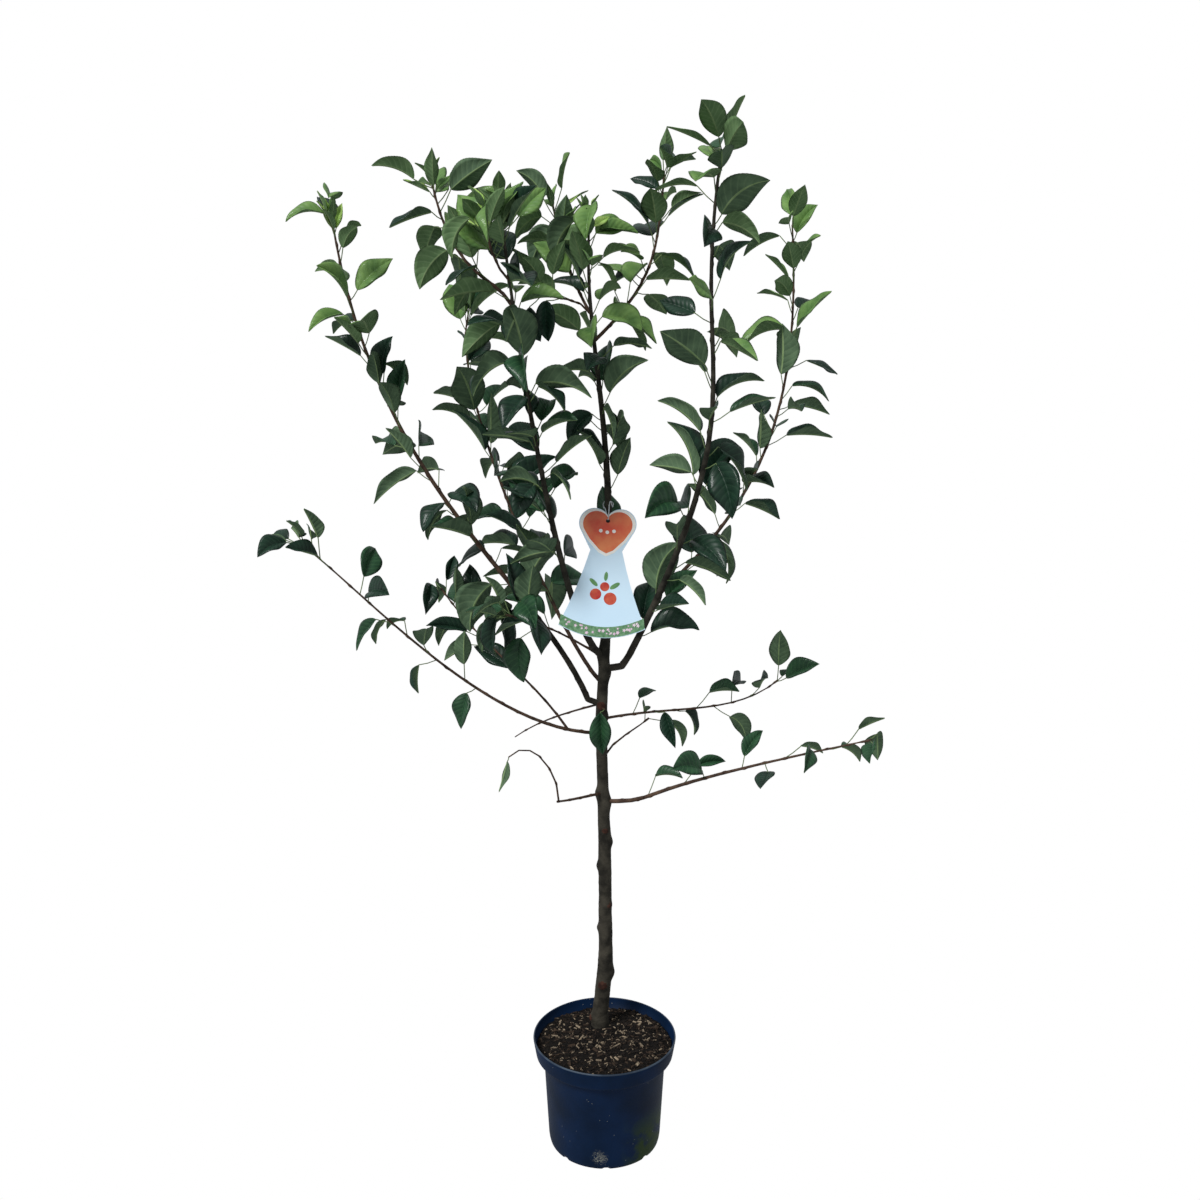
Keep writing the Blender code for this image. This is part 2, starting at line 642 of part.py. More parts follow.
for mass, limbs in masses.items():
    pieces = bpy.data.collections.new("pieces_" + mass)
    bpy.context.scene.collection.children.link(pieces)
    stem = None
    for limb in limbs:
        total = run(PATHS[limb])[-1]
        main = limb == limbs[0]
        start = SHOOTS[limb].bare * total + CLEARANCE if main and SHOOTS[limb].bare else 0.0
        points, radii = stretch(limb, start, total, max(3, int((total - start) / STEM_STEP)))
        radii = [r * STEM_FULLNESS for r in radii]
        twig_obj = twig("stem_" + limb, points, radii, LEAF, tree if main else pieces)
        stem = stem or twig_obj
        for j, leaf in enumerate(crown.leaves[limb]):
            leaf_solid(limb + "_leaf_" + str(j), leaf, pieces)
    stem.name = "leaves_" + mass
    join = stem.modifiers.new("join", "BOOLEAN")
    join.operation = "UNION"
    join.solver = "MANIFOLD"
    join.operand_type = "COLLECTION"
    join.collection = pieces
    if SHOOTS[mass].bare == 0:
        cut(stem, inflated["trunk"])
    foliage = as_mesh(stem)
    keep_largest(foliage)
    for piece in list(pieces.objects):
        bpy.data.objects.remove(piece, do_unlink=True)
    bpy.data.collections.remove(pieces)


# Pot and potting mix are turned shapes

def turned(name, profile, mat):
    mesh = bpy.data.meshes.new(name)
    mesh.from_pydata([(r, 0, z) for r, z in profile], [(i, i + 1) for i in range(len(profile) - 1)], [])
    obj = add(name, mesh, mat)
    screw = obj.modifiers.new("turn", "SCREW")
    screw.steps = ROUND_STEPS
    screw.render_steps = ROUND_STEPS
    screw.use_merge_vertices = True
    screw.merge_threshold = 1e-5
    return as_mesh(obj)


band_height = POT_HEIGHT - RIM_HEIGHT
ledge = band_height + POT_WALL
inner_body = POT_BODY_RADIUS - POT_WALL
inner_band = POT_TOP_RADIUS - RIM_DRAFT - POT_WALL
inner_rim = POT_TOP_RADIUS - 1.5 * POT_WALL
pot_profile = [(0, POT_WALL), (POT_BASE_RADIUS - POT_WALL, POT_WALL), (inner_body, ledge), (inner_band, ledge),
               (inner_rim, POT_HEIGHT - MM), (POT_TOP_RADIUS - POT_WALL, POT_HEIGHT),
               (POT_TOP_RADIUS - RIM_LIP, POT_HEIGHT), (POT_TOP_RADIUS, POT_HEIGHT - RIM_LIP),
               (POT_TOP_RADIUS - RIM_DRAFT, band_height), (POT_BODY_RADIUS, band_height - MM),
               (POT_BASE_RADIUS + FOOT_EDGE / 3, FOOT_HEIGHT), (POT_BASE_RADIUS - FOOT_EDGE, 0), (0, 0)]
pot = turned("pot", pot_profile, PLASTIC)

# The mix fills the pot up to a little below its rim and lies on the ledge behind the band
soil_foot = POT_WALL + 2 * CLEARANCE
soil_edge = SOIL_TOP - SOIL_EDGE_DROP
edge_share = (soil_edge - ledge) / (POT_HEIGHT - MM - ledge)
soil_edge_radius = inner_band + (inner_rim - inner_band) * edge_share - 2 * CLEARANCE
soil_profile = [(0, SOIL_TOP), (SOIL_FLAT_RADIUS, SOIL_TOP), (SOIL_SLOPE_RADIUS, SOIL_TOP - SOIL_SLOPE_DROP),
                (soil_edge_radius, soil_edge), (inner_band - CLEARANCE, ledge + CLEARANCE),
                (inner_body - CLEARANCE, ledge + CLEARANCE),
                (POT_BASE_RADIUS - POT_WALL - 2 * CLEARANCE, soil_foot), (0, soil_foot)]
soil = turned("soil", soil_profile, SOIL)

# The tag hangs from its loop in front of the leader, its hem nearer to the viewer than its heart
tag_up = (TAG_HOLE - TAG_HEM).normalized()
tag_right = Vector((1, 0, 0)) - tag_up * tag_up.x
tag_right.normalize()
tag_front = tag_right.cross(tag_up)
hole_height = (TAG_HOLE - TAG_HEM).length


def tag_outline():
    """The right half from the notch down to the hem, then its mirror image."""
    lobe_height = hole_height - LOBE_DROP
    half = []
    for degrees in LOBE_TURNS:
        angle = math.radians(degrees)
        half.append((LOBE_OFFSET + LOBE_RADIUS * math.cos(angle),
                     lobe_height + LOBE_RADIUS * math.sin(angle)))
    half.append((WAIST_HALF, WAIST_HEIGHT))
    half.append(((WAIST_HALF + HEM_HALF) / 2 - SKIRT_HOLLOW, (WAIST_HEIGHT + HEM_RISE) / 2))
    half.append((HEM_HALF, HEM_RISE))
    for share in (0.75, 0.5, 0.25):
        half.append((HEM_HALF * share, HEM_RISE * share**2))
    mirrored = [(-x, y) for x, y in reversed(half)]
    return half + [(0, 0)] + mirrored + [(0, lobe_height + LOBE_RADIUS * NOTCH_SHARE)]


tag_curve = bpy.data.curves.new("tag", "CURVE")
tag_curve.dimensions = "2D"
tag_curve.fill_mode = "BOTH"
tag_curve.extrude = TAG_THICKNESS / 2
hole = [(HOLE_RADIUS * math.cos(a * math.pi / 6), hole_height + HOLE_RADIUS * math.sin(a * math.pi / 6))
        for a in range(12)]
for ring_points in (tag_outline(), hole):
    spline = tag_curve.splines.new("POLY")
    spline.points.add(len(ring_points) - 1)
    spline.use_cyclic_u = True
    for point, (x, y) in zip(spline.points, ring_points):
        point.co = (x, y, 0, 1)
tag = add("tag", tag_curve, CARD)
facing = Matrix((tag_right, tag_up, tag_front)).transposed().to_4x4()
tag.matrix_world = Matrix.Translation(TAG_HEM) @ facing
tag = as_mesh(tag)

# The loop goes through the hole, over the heart's top and round the leader
loop_centre = Vector(at(PATHS["leader"], LEADER_BARE + LOOP_RISE)[0])
seat = TAG_HOLE + tag_up * (HOLE_RADIUS - LOOP_RADIUS - LOOP_SEAT)
loop_points = [seat] + [TAG_HOLE + offset for offset in LOOP_UP]
loop_points += [loop_centre + Vector((LOOP_SIDE, -0.006, -0.002)),
                loop_centre + Vector((LOOP_SIDE, 0.004, 0.004)),
                loop_centre + Vector((0, LOOP_BACK, 0.006)),
                loop_centre + Vector((-LOOP_SIDE, 0.004, 0.004)),
                loop_centre + Vector((-LOOP_SIDE, -0.005, -0.004))]
loop_points += [TAG_HOLE + offset for offset in LOOP_DOWN]
loop_curve = bpy.data.curves.new("tag_loop", "CURVE")
loop_curve.dimensions = "3D"
loop_curve.bevel_depth = LOOP_RADIUS
loop_curve.bevel_resolution = 1
loop_curve.resolution_u = 3
loop_spline = loop_curve.splines.new("BEZIER")
loop_spline.bezier_points.add(len(loop_points) - 1)
loop_spline.use_cyclic_u = True
for knot, place in zip(loop_spline.bezier_points, loop_points):
    knot.co = place
    knot.handle_left_type = "AUTO"
    knot.handle_right_type = "AUTO"
loop = as_mesh(add("tag_loop", loop_curve, CORD))

for obj in tree.objects:
    obj.data.shade_smooth()
    obj.data.set_sharp_from_angle(angle=math.radians(40))
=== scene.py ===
"""Potted young apple tree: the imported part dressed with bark, leaves, pot, potting mix and hang tag.

Metres, +Z up, in the part's own frame. The view is that of the photograph.
"""
import random
from collections import namedtuple
from math import asin, atan2, cos, exp, pi, radians, sin, sqrt

import bmesh
import bpy
import numpy as np
from mathutils import Matrix, Vector, noise


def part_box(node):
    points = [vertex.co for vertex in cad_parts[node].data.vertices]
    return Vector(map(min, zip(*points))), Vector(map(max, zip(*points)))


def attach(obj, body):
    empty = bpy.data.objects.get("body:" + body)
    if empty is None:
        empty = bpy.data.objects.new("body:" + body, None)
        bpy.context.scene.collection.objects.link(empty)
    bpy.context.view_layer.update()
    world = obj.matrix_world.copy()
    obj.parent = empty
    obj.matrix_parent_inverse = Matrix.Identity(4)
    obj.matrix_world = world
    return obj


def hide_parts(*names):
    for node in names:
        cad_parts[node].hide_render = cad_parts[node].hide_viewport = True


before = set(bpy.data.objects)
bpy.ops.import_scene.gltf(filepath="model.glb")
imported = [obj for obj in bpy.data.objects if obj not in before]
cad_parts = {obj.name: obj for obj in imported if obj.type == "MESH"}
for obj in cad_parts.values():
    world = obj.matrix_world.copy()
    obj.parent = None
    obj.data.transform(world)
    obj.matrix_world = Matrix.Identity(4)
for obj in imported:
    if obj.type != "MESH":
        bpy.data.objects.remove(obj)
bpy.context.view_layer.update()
bpy.ops.object.select_all(action="DESELECT")


def srgb(code):
    """A hex colour as the linear values that shaders take."""
    parts = [int(code[i:i + 2], 16) / 255 for i in (1, 3, 5)]
    return tuple(p / 12.92 if p <= 0.04045 else ((p + 0.055) / 1.055) ** 2.4 for p in parts) + (1.0,)


def add_node(tree, kind, inputs=None, **settings):
    """Adds a shader node with its settings, its constants and its links."""
    node = tree.nodes.new(kind)
    for key, value in settings.items():
        setattr(node, key, value)
    for key, value in (inputs or {}).items():
        if isinstance(value, bpy.types.NodeSocket):
            tree.links.new(value, node.inputs[key])
        else:
            node.inputs[key].default_value = value
    return node


def formula(tree, operation, *values):
    """The result of one sum on sockets or numbers."""
    return add_node(tree, "ShaderNodeMath", dict(enumerate(values)), operation=operation).outputs[0]


def cloud(tree, place, scale, detail):
    inputs = {"Vector": place, "Scale": scale, "Detail": detail}
    return add_node(tree, "ShaderNodeTexNoise", inputs).outputs["Fac"]


def between(tree, value, span):
    """A value's share of the way through a span, from 0 to 1."""
    inputs = {"Value": value, "From Min": span[0], "From Max": span[1]}
    return add_node(tree, "ShaderNodeMapRange", inputs).outputs[0]


def cover(tree, amount, under, over):
    """One colour laid over another by an amount."""
    inputs = {"Factor": amount, 6: under, 7: over}
    return add_node(tree, "ShaderNodeMix", inputs, data_type="RGBA").outputs[2]


def surface(name, low, high, roughness, scale, depth=0.0, fine=0.0, coat=0.0):
    """A material whose colour wanders between two tones, with a matching relief."""
    mat = bpy.data.materials.new(name)
    mat.use_nodes = True
    tree = mat.node_tree
    shader = tree.nodes["Principled BSDF"]
    shader.inputs["Roughness"].default_value = roughness
    shader.inputs["Coat Weight"].default_value = coat
    shader.inputs["Specular IOR Level"].default_value = 0.2
    place = tree.nodes.new("ShaderNodeTexCoord").outputs["Object"]
    tone = cloud(tree, place, scale, detail=6.0)
    ramp = add_node(tree, "ShaderNodeValToRGB", {"Fac": tone})
    for stop, position, code in zip(ramp.color_ramp.elements, (0.35, 0.68), (low, high)):
        stop.position = position
        stop.color = srgb(code)
    tree.links.new(ramp.outputs["Color"], shader.inputs["Base Color"])
    if depth:
        grain = cloud(tree, place, fine, detail=4.0) if fine else tone
        bump = add_node(tree, "ShaderNodeBump", {"Height": grain, "Distance": depth, "Strength": 0.6})
        tree.links.new(bump.outputs["Normal"], shader.inputs["Normal"])
    return mat


def finish(obj, slot, *nodes):
    """Says what a piece rides on and what it replaces; slot is not used."""
    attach(obj, "root")
    if nodes:
        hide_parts(*nodes)


def add_object(name, data):
    """A new object in the scene."""
    obj = bpy.data.objects.new(name, data)
    bpy.context.scene.collection.objects.link(obj)
    return obj


def circle(x, y, radius, steps):
    """The points of a circle."""
    turns = [2 * pi * k / steps for k in range(steps)]
    return [(x + radius * cos(turn), y + radius * sin(turn)) for turn in turns]


def solid(name, points, faces, mats, choice=None, smooth=True):
    """A mesh object from points and faces, with the material of each face."""
    mesh = bpy.data.meshes.new(name)
    mesh.from_pydata([tuple(p) for p in points], [], faces)
    for mat in mats:
        mesh.materials.append(mat)
    if choice is not None:
        mesh.polygons.foreach_set("material_index", np.array(choice, dtype=np.int32))
    mesh.polygons.foreach_set("use_smooth", np.full(len(faces), smooth))
    mesh.update()
    return add_object(name, mesh)


# View
# The photograph was taken from about the height of the middle of the crown, tipped down to the pot
TIPPED_DOWN = 10.85
camera_data = bpy.data.cameras.new("camera")
camera_data.sensor_width = 36.0
camera_data.lens = 35.25
camera = add_object("camera", camera_data)
camera.location = (-0.0074, -1.75, 1.238)
camera.rotation_euler = (radians(90 - TIPPED_DOWN), 0.0, 0.0)
bpy.context.scene.camera = camera

# Light
# Soft daylight from an even sky before a white backdrop, with a sun from high on the left in front
world = bpy.data.worlds.new("daylight")
world.use_nodes = True
tree = world.node_tree
sky = tree.nodes["Background"]
sky.inputs["Color"].default_value = (0.93, 0.97, 1.0, 1.0)
sky.inputs["Strength"].default_value = 0.46
backdrop = add_node(tree, "ShaderNodeBackground", {"Color": (1.0, 1.0, 1.0, 1.0), "Strength": 1.0})
seen = add_node(tree, "ShaderNodeLightPath")
chosen = add_node(tree, "ShaderNodeMixShader",
                  {0: seen.outputs["Is Camera Ray"], 1: sky.outputs[0], 2: backdrop.outputs[0]})
tree.links.new(chosen.outputs[0], tree.nodes["World Output"].inputs["Surface"])
bpy.context.scene.world = world
bpy.context.scene.view_settings.view_transform = "Standard"
sun_data = bpy.data.lights.new("sun", "SUN")
sun_data.energy = 2.5
sun_data.angle = radians(20)
sun = add_object("sun", sun_data)
sun.rotation_euler = [radians(degrees) for degrees in (38, -18, -20)]

# Growth
# Upright limbs rise from the trunk and carry leaves on a 144 degree spiral, by the source's own rule
CLEARANCE = 0.0003
SOIL_TOP = 0.170
# The trunk: height, sideways lean, depth and radius, from the flat cut in the soil to the fork
Station = namedtuple("Station", "height x y radius")
TRUNK = (
    Station(SOIL_TOP + CLEARANCE, -0.007, 0.043, 0.0155),
    Station(0.196, -0.005, 0.043, 0.0132),
    Station(0.245, -0.002, 0.042, 0.0126),
    Station(0.272, 0.001, 0.041, 0.0130),
    Station(0.310, 0.002, 0.040, 0.0114),
    Station(0.400, 0.001, 0.0385, 0.0106),
    Station(0.500, 0.000, 0.037, 0.0104),
    Station(0.600, -0.003, 0.0355, 0.0090),
    Station(0.700, -0.006, 0.034, 0.0090),
    Station(0.770, -0.0025, 0.0325, 0.0084),
    Station(0.834, 0.001, 0.031, 0.0078),
)

# Each shoot rises from its foot to its tip. on, at: what it grows from, and at which height (trunk) or
# share of length (another shoot). rise, pull: the slope in degrees and the stiffness at foot and tip.
# bare: the share without leaves. radius: at foot and tip. leaf, gap: length of a leaf and the space
# between buds. ending, count, small: habit, number and length of the leaves at the tip. stub: a short
# first reach before the shoot turns. mass: the foliage it belongs to.
Shoot = namedtuple(
    "Shoot", "on at tip rise pull bare radius leaf gap seed mass ending count small stub",
    defaults=(0, 0, 0, None, "young", 8, 0.042, None))
SHOOTS = {
    "front_right": Shoot(
        "trunk", 0.787, (0.153, -0.120, 1.529), (56, 79), (2.1, 1.3), 0.10, (0.0056, 0.0019), 0.078,
        0.025, 2977, "front_right", "upright", 5, 0.074, (0.031, -0.004, 0.006)),
    "back_right": Shoot(
        "trunk", 0.833, (0.294, 0.170, 1.469), (33, 96), (1.2, 1.45), 0.20, (0.0034, 0.0014), 0.072,
        0.025, 2245, "back_right", "upright", 6, 0.066),
    "left": Shoot(
        "trunk", 0.730, (-0.402, 0.050, 1.468), (69, 83), (0.75, 1.5), 0.24, (0.0048, 0.0015),
        0.074, 0.026, 5265, "left", "young", 8, 0.042, (-0.020, -0.004, 0.004)),
    "low_right": Shoot(
        "trunk", 0.568, (0.383, -0.130, 0.723), (8, 19), (0.8, 3.0), 0.16, (0.0036, 0.0010), 0.058,
        0.033, 5031, "low_right", "mature", 3, 0.056),
    "right_spray": Shoot(
        "trunk", 0.705, (0.282, 0.100, 0.751), (8, 37), (1.25, 0.95), 0.14, (0.0022, 0.0010), 0.058,
        0.033, 9827, "right_spray", "mature", 2, 0.056),
    "long_left": Shoot(
        "trunk", 0.682, (-0.430, -0.110, 1.005), (5, 39), (1.0, 0.55), 0.34, (0.0028, 0.0010),
        0.056, 0.038, 2347, "long_left", "mature", 3, 0.052),
    "short_left": Shoot(
        "long_left", 0.10, (-0.262, 0.100, 0.903), (52, 52), (1.05, 1.15), 0.35, (0.0020, 0.0010),
        0.064, 0.026, 7142, "short_left", "mature", 3, 0.058),
    "front_left": Shoot(
        "trunk", 0.804, (-0.142, -0.110, 1.467), (27, 82), (0.43, 0.86), 0.20, (0.0056, 0.0016),
        0.074, 0.022, 3256, "front_left", "young", 9),
    "front_left_side": Shoot(
        "front_left", 0.80, (-0.240, -0.050, 1.502), (61, 78), (0.75, 2.0), 0.0, (0.0026, 0.0014),
        0.064, 0.022, 2698, "front_left", "young", 7),
    "front_left_middle": Shoot(
        "front_left", 0.85, (-0.158, -0.150, 1.449), (20, 95), (1.0, 1.0), 0.0, (0.0018, 0.0012),
        0.058, 0.020, 5122, "front_left", "young", 9),
    "leader": Shoot(
        "trunk", 0.834, (-0.022, 0.0, 1.462), (96, 97), (1.7, 0.9), 0.22, (0.0074, 0.0015), 0.072,
        0.026, 2093, "leader", "young", 9),
    "leader_left": Shoot(
        "leader", 0.78, (-0.079, 0.090, 1.495), (43, 75), (1.0, 1.0), 0.0, (0.0024, 0.0013), 0.064,
        0.022, 9313, "leader", "young", 8),
    "leader_right": Shoot(
        "leader", 0.72, (0.090, 0.120, 1.540), (34, 84), (1.6, 1.25), 0.0, (0.0028, 0.0014), 0.064,
        0.025, 7121, "leader", "upright", 6, 0.046),
    "leader_spur": Shoot(
        "leader", 0.78, (-0.091, -0.060, 1.349), (54, 14), (1.0, 1.0), 0.3, (0.0016, 0.0010), 0.050,
        0.020, 6576, "leader", "mature", 3, 0.046),
    "back_left": Shoot(
        "trunk", 0.762, (-0.226, 0.250, 1.335), (24, 114), (0.4, 0.65), 0.22, (0.0034, 0.0013),
        0.082, 0.022, 285, "back_left", "upright", 6, 0.076),
    "fork_twig": Shoot(
        "trunk", 0.804, (-0.149, -0.030, 0.886), (35, 14), (1.0, 1.0), 0.50, (0.0020, 0.0010),
        0.068, 0.020, 1290, "fork_twig", "mature", 4, 0.066),
    "right_twig": Shoot(
        "trunk", 0.637, (0.071, 0.070, 0.696), (65, 35), (1.0, 1.0), 0.80, (0.0018, 0.0010), 0.045,
        0.020, 245, "right_twig", "mature", 2, 0.044),
    "trunk_spur": Shoot(
        "trunk", 0.722, (0.000, 0.010, 0.728), (40, 20), (1.0, 1.0), 0.0, (0.0016, 0.0010), 0.0,
        0.0, 5330, "trunk_spur", "hanging", 1, 0.062),
    "left_stub": Shoot(
        "trunk", 0.582, (-0.072, -0.060, 0.603), (10, 13), (1.0, 1.0), 1.0, (0.0024, 0.0016)),
    "withered": Shoot(
        "left_stub", 0.97, (-0.141, -0.110, 0.690), (95, -37), (1.0, 1.25), 0.6, (0.0015, 0.0010),
        0.0, 0.0, 8753, "withered", "hanging", 1, 0.044),
    "bare_twig": Shoot(
        "trunk", 0.731, (-0.146, 0.090, 0.658), (-20, -38), (1.0, 1.0), 1.0, (0.0018, 0.0009)),
}

# The hang tag, a heart above a flared skirt: its hem's middle, its hole and its outline
TAG_HEM = (-0.0059, -0.055, 0.856)
TAG_HOLE = (0.0047, 0.018, 1.0208)
TAG_ROOM = 0.008
LOBE_RADIUS = 0.0235
LOBE_OFFSET = 0.0200
WAIST_HALF = 0.0240
WAIST_HEIGHT = 0.134
HEM_HALF = 0.0645
HEM_RISE = 0.0165

# How a leaf sits, by habit. Pairs are ranges; angles in degrees, petiole in metres, the rest in shares
# of the leaf's length. angle: off the stem. lift: how far it turns up. droop: how far the blade hangs
# below its petiole. fall: the share of buds without a leaf.
Habit = namedtuple("Habit", "angle lift petiole droop swing curl roll size ratio fold turn fall")
HABITS = {
    "mature": Habit((28, 80), 0.35, (0.018, 0.036), (-20, 75), 35, (5, 65), 55, (0.76, 1.18),
                    (0.45, 0.62), (6, 48), 80, 0.07),
    "upright": Habit((10, 55), 0.35, (0.014, 0.030), (-25, 35), 35, (0, 50), 60, (0.72, 1.18),
                     (0.42, 0.60), (8, 50), 80, 0.0),
    "young": Habit((8, 50), 0.2, (0.005, 0.016), (-20, 25), 30, (-10, 35), 60, (0.65, 1.25),
                   (0.32, 0.48), (12, 50), 70, 0.0),
    "hanging": Habit((60, 90), -0.3, (0.008, 0.020), (45, 95), 60, (0, 25), 90, (0.85, 1.15),
                     (0.30, 0.55), (10, 60), 360, 0.0),
}
LEAF_TURN = radians(144)
PATH_STEPS = 24
LEAF_DRAWS = 12
BUD_JITTER = 0.35
FIRST_BUD = 0.012
FORK_BARE = 0.03
TIP_BARE = 0.01
TIP_GAP = 0.001
SHORTER_FROM = 0.75
YOUNG_GROWTH = (0.75, 0.45)
TIP_STEP = {"mature": 0.006}
TIP_STEP_YOUNG = 0.005
LEAF_STATIONS = (0.03, 0.2, 0.4, 0.6, 0.8, 0.98)
LIMB_ROOM = 0.005
OWN_ROOM = 0.003
YOUNG_ROOM = 0.0015
MASS_ROOM = 0.009
PROBE_STEP = 0.007
TRUNK_PROBES = 95
TRUNK_PROBE_TOP = 0.84
TRUNK_PROBE_RADIUS = 0.010
NEIGHBOURHOOD = 0.12
FILL_SHARE = 0.5
FULL_FROM = 0.85
FULL_MASSES = ("front_left", "leader", "fork_twig")


def trunk_at(height):
    heights = [s.height for s in TRUNK]
    return np.array([np.interp(height, heights, [s.x for s in TRUNK]),
                     np.interp(height, heights, [s.y for s in TRUNK]), height])


def bend(foot, tip, rise, pull):
    """A cubic arc from foot to tip that leaves and arrives at the given slopes."""
    chord = tip - foot
    length = np.linalg.norm(chord)
    heading = atan2(chord[1], chord[0])

    def slope(degrees, strength):
        angle = radians(degrees)
        flat = cos(angle)
        way = np.array([flat * cos(heading), flat * sin(heading), sin(angle)])
        return way * length * strength

    leave = slope(rise[0], pull[0])
    arrive = slope(rise[1], pull[1])
    t = np.linspace(0, 1, PATH_STEPS + 1)[:, None]
    return ((2 * t**3 - 3 * t**2 + 1) * foot + (t**3 - 2 * t**2 + t) * leave
            + (3 * t**2 - 2 * t**3) * tip + (t**3 - t**2) * arrive)


def run(path):
    """The length along a path at each of its points."""
    steps = np.linalg.norm(np.diff(path, axis=0), axis=1)
    return np.concatenate([[0], np.cumsum(steps)])


def at(path, length):
    """The point at a length along a path, and the direction there."""
    lengths = run(path)
    reach = 0.004

    def point(x):
        x = min(max(x, 0), lengths[-1])
        return np.array([np.interp(x, lengths, path[:, i]) for i in range(3)])

    length = min(max(length, 0), lengths[-1])
    way = point(length + reach) - point(length - reach)
    return point(length), way / np.linalg.norm(way)


def shoot_paths():
    paths = {}
    for name, shoot in SHOOTS.items():
        if shoot.on == "trunk":
            foot = trunk_at(shoot.at)
        else:
            parent = paths[shoot.on]
            foot = at(parent, shoot.at * run(parent)[-1])[0]
        start = foot + np.array(shoot.stub) if shoot.stub else foot
        path = bend(start, np.array(shoot.tip), shoot.rise, shoot.pull)
        paths[name] = np.vstack([foot, path]) if shoot.stub else path
    return paths


PATHS = shoot_paths()


def bare_length(name):
    """The length of a shoot without leaves."""
    return SHOOTS[name].bare * run(PATHS[name])[-1]


def stem_radius(name, length):
    foot, tip = SHOOTS[name].radius
    return foot + (tip - foot) * length / run(PATHS[name])[-1]


def mix(span, share):
    return span[0] + (span[1] - span[0]) * share


def unit(vector):
    return vector / np.linalg.norm(vector)


def half_width(u):
    """A blade's half width at a share of its length: widest below its middle, pointed at its tip."""
    return sin(pi * u**0.82)**0.85 * (1 - 0.30 * u**3)


class Leaf:
    """One leaf from its twelve draws: the petiole's end and the blade's midrib and cross directions."""

    def __init__(self, root, way, phase, draw, base, kind):
        habit = HABITS[kind]
        self.root = root
        self.kind = kind
        side = unit(np.cross(way, (0, 0, 1)))
        other = np.cross(way, side)
        phase += radians(habit.turn) * (draw[1] - 0.5)
        angle = radians(mix(habit.angle, draw[2]))
        out = (side * cos(phase) + other * sin(phase)) * sin(angle)
        out = unit(way * cos(angle) + out + np.array([0, 0, habit.lift]))
        self.end = root + out * mix(habit.petiole, draw[3])
        self.heading = atan2(out[1], out[0]) + radians(habit.swing) * 2 * (draw[5] - 0.5)
        self.slope = asin(max(-1, min(1, out[2]))) - radians(mix(habit.droop, draw[4]))
        self.length = base * mix(habit.size, draw[8])
        self.half = self.length * mix(habit.ratio, draw[9]) / 2
        self.curl = radians(mix(habit.curl, draw[6]))
        self.roll = radians(habit.roll) * 2 * (draw[7] - 0.5)
        self.fold = radians(mix(habit.fold, draw[10]))

    def ribs(self, stations):
        """At each station: the midrib's point, the way across and the way up from the blade."""
        c, s = cos(self.heading), sin(self.heading)
        point = self.end
        before = 0.0
        rows = []
        for u in stations:
            mean = self.slope - self.curl * (u + before) / 2
            point = point + np.array([cos(mean) * c, cos(mean) * s, sin(mean)]) * (
                self.length * (u - before))
            before = u
            here = self.slope - self.curl * u
            up = np.array([-sin(here) * c, -sin(here) * s, cos(here)])
            across = np.array([s, -c, 0.0])
            cr, sr = cos(self.roll), sin(self.roll)
            rows.append((point, across * cr + up * sr, up * cr - across * sr))
        return rows

    def edge(self, row, width, side):
        point, across, up = row
        return point + across * side * width * cos(self.fold) + up * width * sin(self.fold)

    def probe(self):
        """Points over the blade and the petiole's end, to keep the leaf clear of everything else."""
        points = [self.end]
        for u, row in zip(LEAF_STATIONS, self.ribs(LEAF_STATIONS)):
            width = self.half * half_width(u)
            points += [self.edge(row, width, -1), row[0], self.edge(row, width, 1)]
        return np.array(points)


def buds(name):
    """The places of a shoot's leaves, in order: habit, length along the stem and the leaf's length."""
    shoot = SHOOTS[name]
    total = run(PATHS[name])[-1]
    places = []
    if shoot.leaf:
        start = (shoot.bare * total if shoot.bare > 0 else FORK_BARE) + FIRST_BUD
        while start <= total - TIP_BARE:
            places.append(("mature", start, shoot.leaf * (1 - max(0, start / total - SHORTER_FROM))))
            start += shoot.gap
    step = TIP_STEP.get(shoot.ending, TIP_STEP_YOUNG)
    for j in range(shoot.count):
        grown = YOUNG_GROWTH[0] + YOUNG_GROWTH[1] * j / max(1, shoot.count - 1)
        if shoot.ending != "young":
            grown = 1.0
        places.append((shoot.ending, total - TIP_GAP - step * j, shoot.small * grown))
    return places


